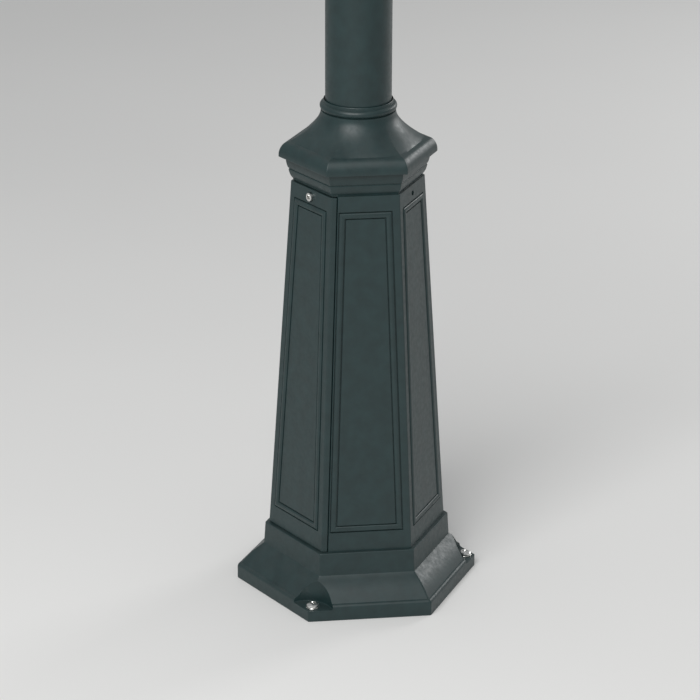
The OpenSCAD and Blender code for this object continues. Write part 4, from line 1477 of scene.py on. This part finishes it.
@dataclass
class Gear(Assembly):
    """Electrical gear behind the door: plate, rail, breaker, terminals and gland."""

    nodes: dict[str, bpy.types.Object]

    def build(self) -> None:
        """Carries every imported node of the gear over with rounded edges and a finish."""
        f = self.finishes
        for node, name, finish, width in (
            ("gear_plate", "mounting_plate", f.zinc, 0.5),
            ("din_rail", "mounting_rail", f.zinc, 0.35),
            ("rail_end_stops", "end_stops", f.terminal, 0.5),
            ("circuit_breaker", "breaker", f.breaker, 0.6),
            ("terminal_blocks", "terminals", f.terminal, 0.4),
            ("earth_stud", "earth_bolt", f.brass, 0.6),
            ("earth_nuts", "earth_nut_set", f.brass, 0.4),
            ("gland_body", "gland_base", f.dark_plastic, 0.5),
            ("gland_cap", "gland_dome", f.dark_plastic, 0.5),
            ("gland_locknut", "gland_nut", f.dark_plastic, 0.5),
            ("gland_seal", "gland_ring", f.rubber, 0.4),
            ("cable_saddle", "saddle", f.zinc, 0.35),
            ("terminal_screws", "terminal_screw_set", f.zinc, 0.2),
            ("rail_screws", "rail_fixing_screws", f.zinc, 0.2),
            ("saddle_screws", "saddle_fixing_screws", f.zinc, 0.2),
            ("gear_plate_screws", "plate_fixing_screws", f.zinc, 0.3),
            ("breaker_toggle", "toggle_lever", f.dark_plastic, 0.8),
        ):
            body = Body.TOGGLE if node == "breaker_toggle" else Body.PEDESTAL
            copy = bevelled_copy(self.nodes[node].data, width)
            copy.finish(Piece(name, finish, node, body, 30.0))


# ---------------------------------------------------------------- stage


@dataclass(frozen=True)
class Studio:
    """Pale floor, soft lights and the camera."""

    floor_half: float = 60.0
    floor_colour: Point = (0.83, 0.825, 0.81)
    camera_distance: float = 3.14067
    camera_height: float = 1.58422
    azimuth_deg: float = 52.788
    pitch_deg: float = 22.385
    pan_deg: float = -0.16
    roll_deg: float = 0.166
    lens_mm: float = 148.2

    def floor(self) -> None:
        """Builds the floor."""
        e = self.floor_half
        mesh = bpy.data.meshes.new("floor")
        mesh.from_pydata([(-e, -e, 0), (e, -e, 0), (e, e, 0), (-e, e, 0)], [], [(0, 1, 2, 3)])
        floor = bpy.data.objects.new("floor", mesh)
        bpy.context.scene.collection.objects.link(floor)
        s = Surface("floor_paint")
        colour = s.blend(s.spread(s.noise(600, 2), 0.0, 1.0), shade(self.floor_colour, 0.99),
                         shade(self.floor_colour, 1.01))
        s.set(Base_Color=colour, Roughness=0.85)
        mesh.materials.append(s.material)

    def _to_model(self, right: float, forward: float, up: float) -> Vector:
        """Turns right, forward and up, as seen from the camera, into the model's frame."""
        turn = Matrix.Rotation(math.radians(self.azimuth_deg), 3, "Z")
        return turn @ Vector((right, forward, up))

    def _light(self, name: str, place: Point, size: float, power: float,
               target: Point) -> None:
        """Adds a square soft light aimed at a target."""
        data = bpy.data.lights.new(name, "AREA")
        data.shape, data.size, data.energy = "SQUARE", size, power
        light = bpy.data.objects.new(name, data)
        light.location = self._to_model(*place)
        light.rotation_euler = (Vector(target) - light.location).to_track_quat("-Z", "Y").to_euler()
        bpy.context.scene.collection.objects.link(light)

    def lights(self) -> None:
        """Adds the lights and the sky."""
        self._light("key", (2.35, 2.15, 1.3), 0.9, 22, target=(0, 0, 0.35))
        self._light("fill", (-0.9, -2.3, 2.6), 2.0, 80, target=(0, 0, 0.1))
        world = bpy.data.worlds.new("sky")
        world.use_nodes = True
        sky = world.node_tree.nodes["Background"].inputs
        sky["Color"].default_value = (0.97, 0.985, 1.0, 1.0)
        sky["Strength"].default_value = 0.39
        bpy.context.scene.world = world
        bpy.context.scene.view_settings.view_transform = "Standard"

    def camera(self) -> None:
        """Adds the camera."""
        pitch, pan, roll = (math.radians(a) for a in (self.pitch_deg, self.pan_deg,
                                                      self.roll_deg))
        ahead = self._to_model(math.sin(pan) * math.cos(pitch), math.cos(pan) * math.cos(pitch),
                             -math.sin(pitch))
        side = self._to_model(math.cos(pan), -math.sin(pan), 0)
        up = side.cross(ahead)
        x = side * math.cos(roll) + up * math.sin(roll)
        y = up * math.cos(roll) - side * math.sin(roll)
        data = bpy.data.cameras.new("camera")
        data.lens = self.lens_mm
        camera = bpy.data.objects.new("camera", data)
        turn = Matrix((x, y, -ahead)).transposed().to_4x4()
        place = self._to_model(0, -self.camera_distance, self.camera_height)
        camera.matrix_world = Matrix.Translation(place) @ turn
        bpy.context.scene.collection.objects.link(camera)
        bpy.context.scene.camera = camera


def main() -> None:
    """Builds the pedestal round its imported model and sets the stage."""
    logging.basicConfig(level=logging.INFO, format="%(name)s: %(message)s")
    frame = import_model()
    kit = Layout.read(), Finishes.make(), Repeater("set_on_seats")
    body = PanelledBody(*kit)
    for part in (Foot(*kit), body, Cornice(*kit, body), Post(*kit), Gear(*kit, frame["nodes"])):
        part.build()
    studio = Studio()
    studio.floor()
    studio.lights()
    studio.camera()


if __name__ == "__main__":
    main()
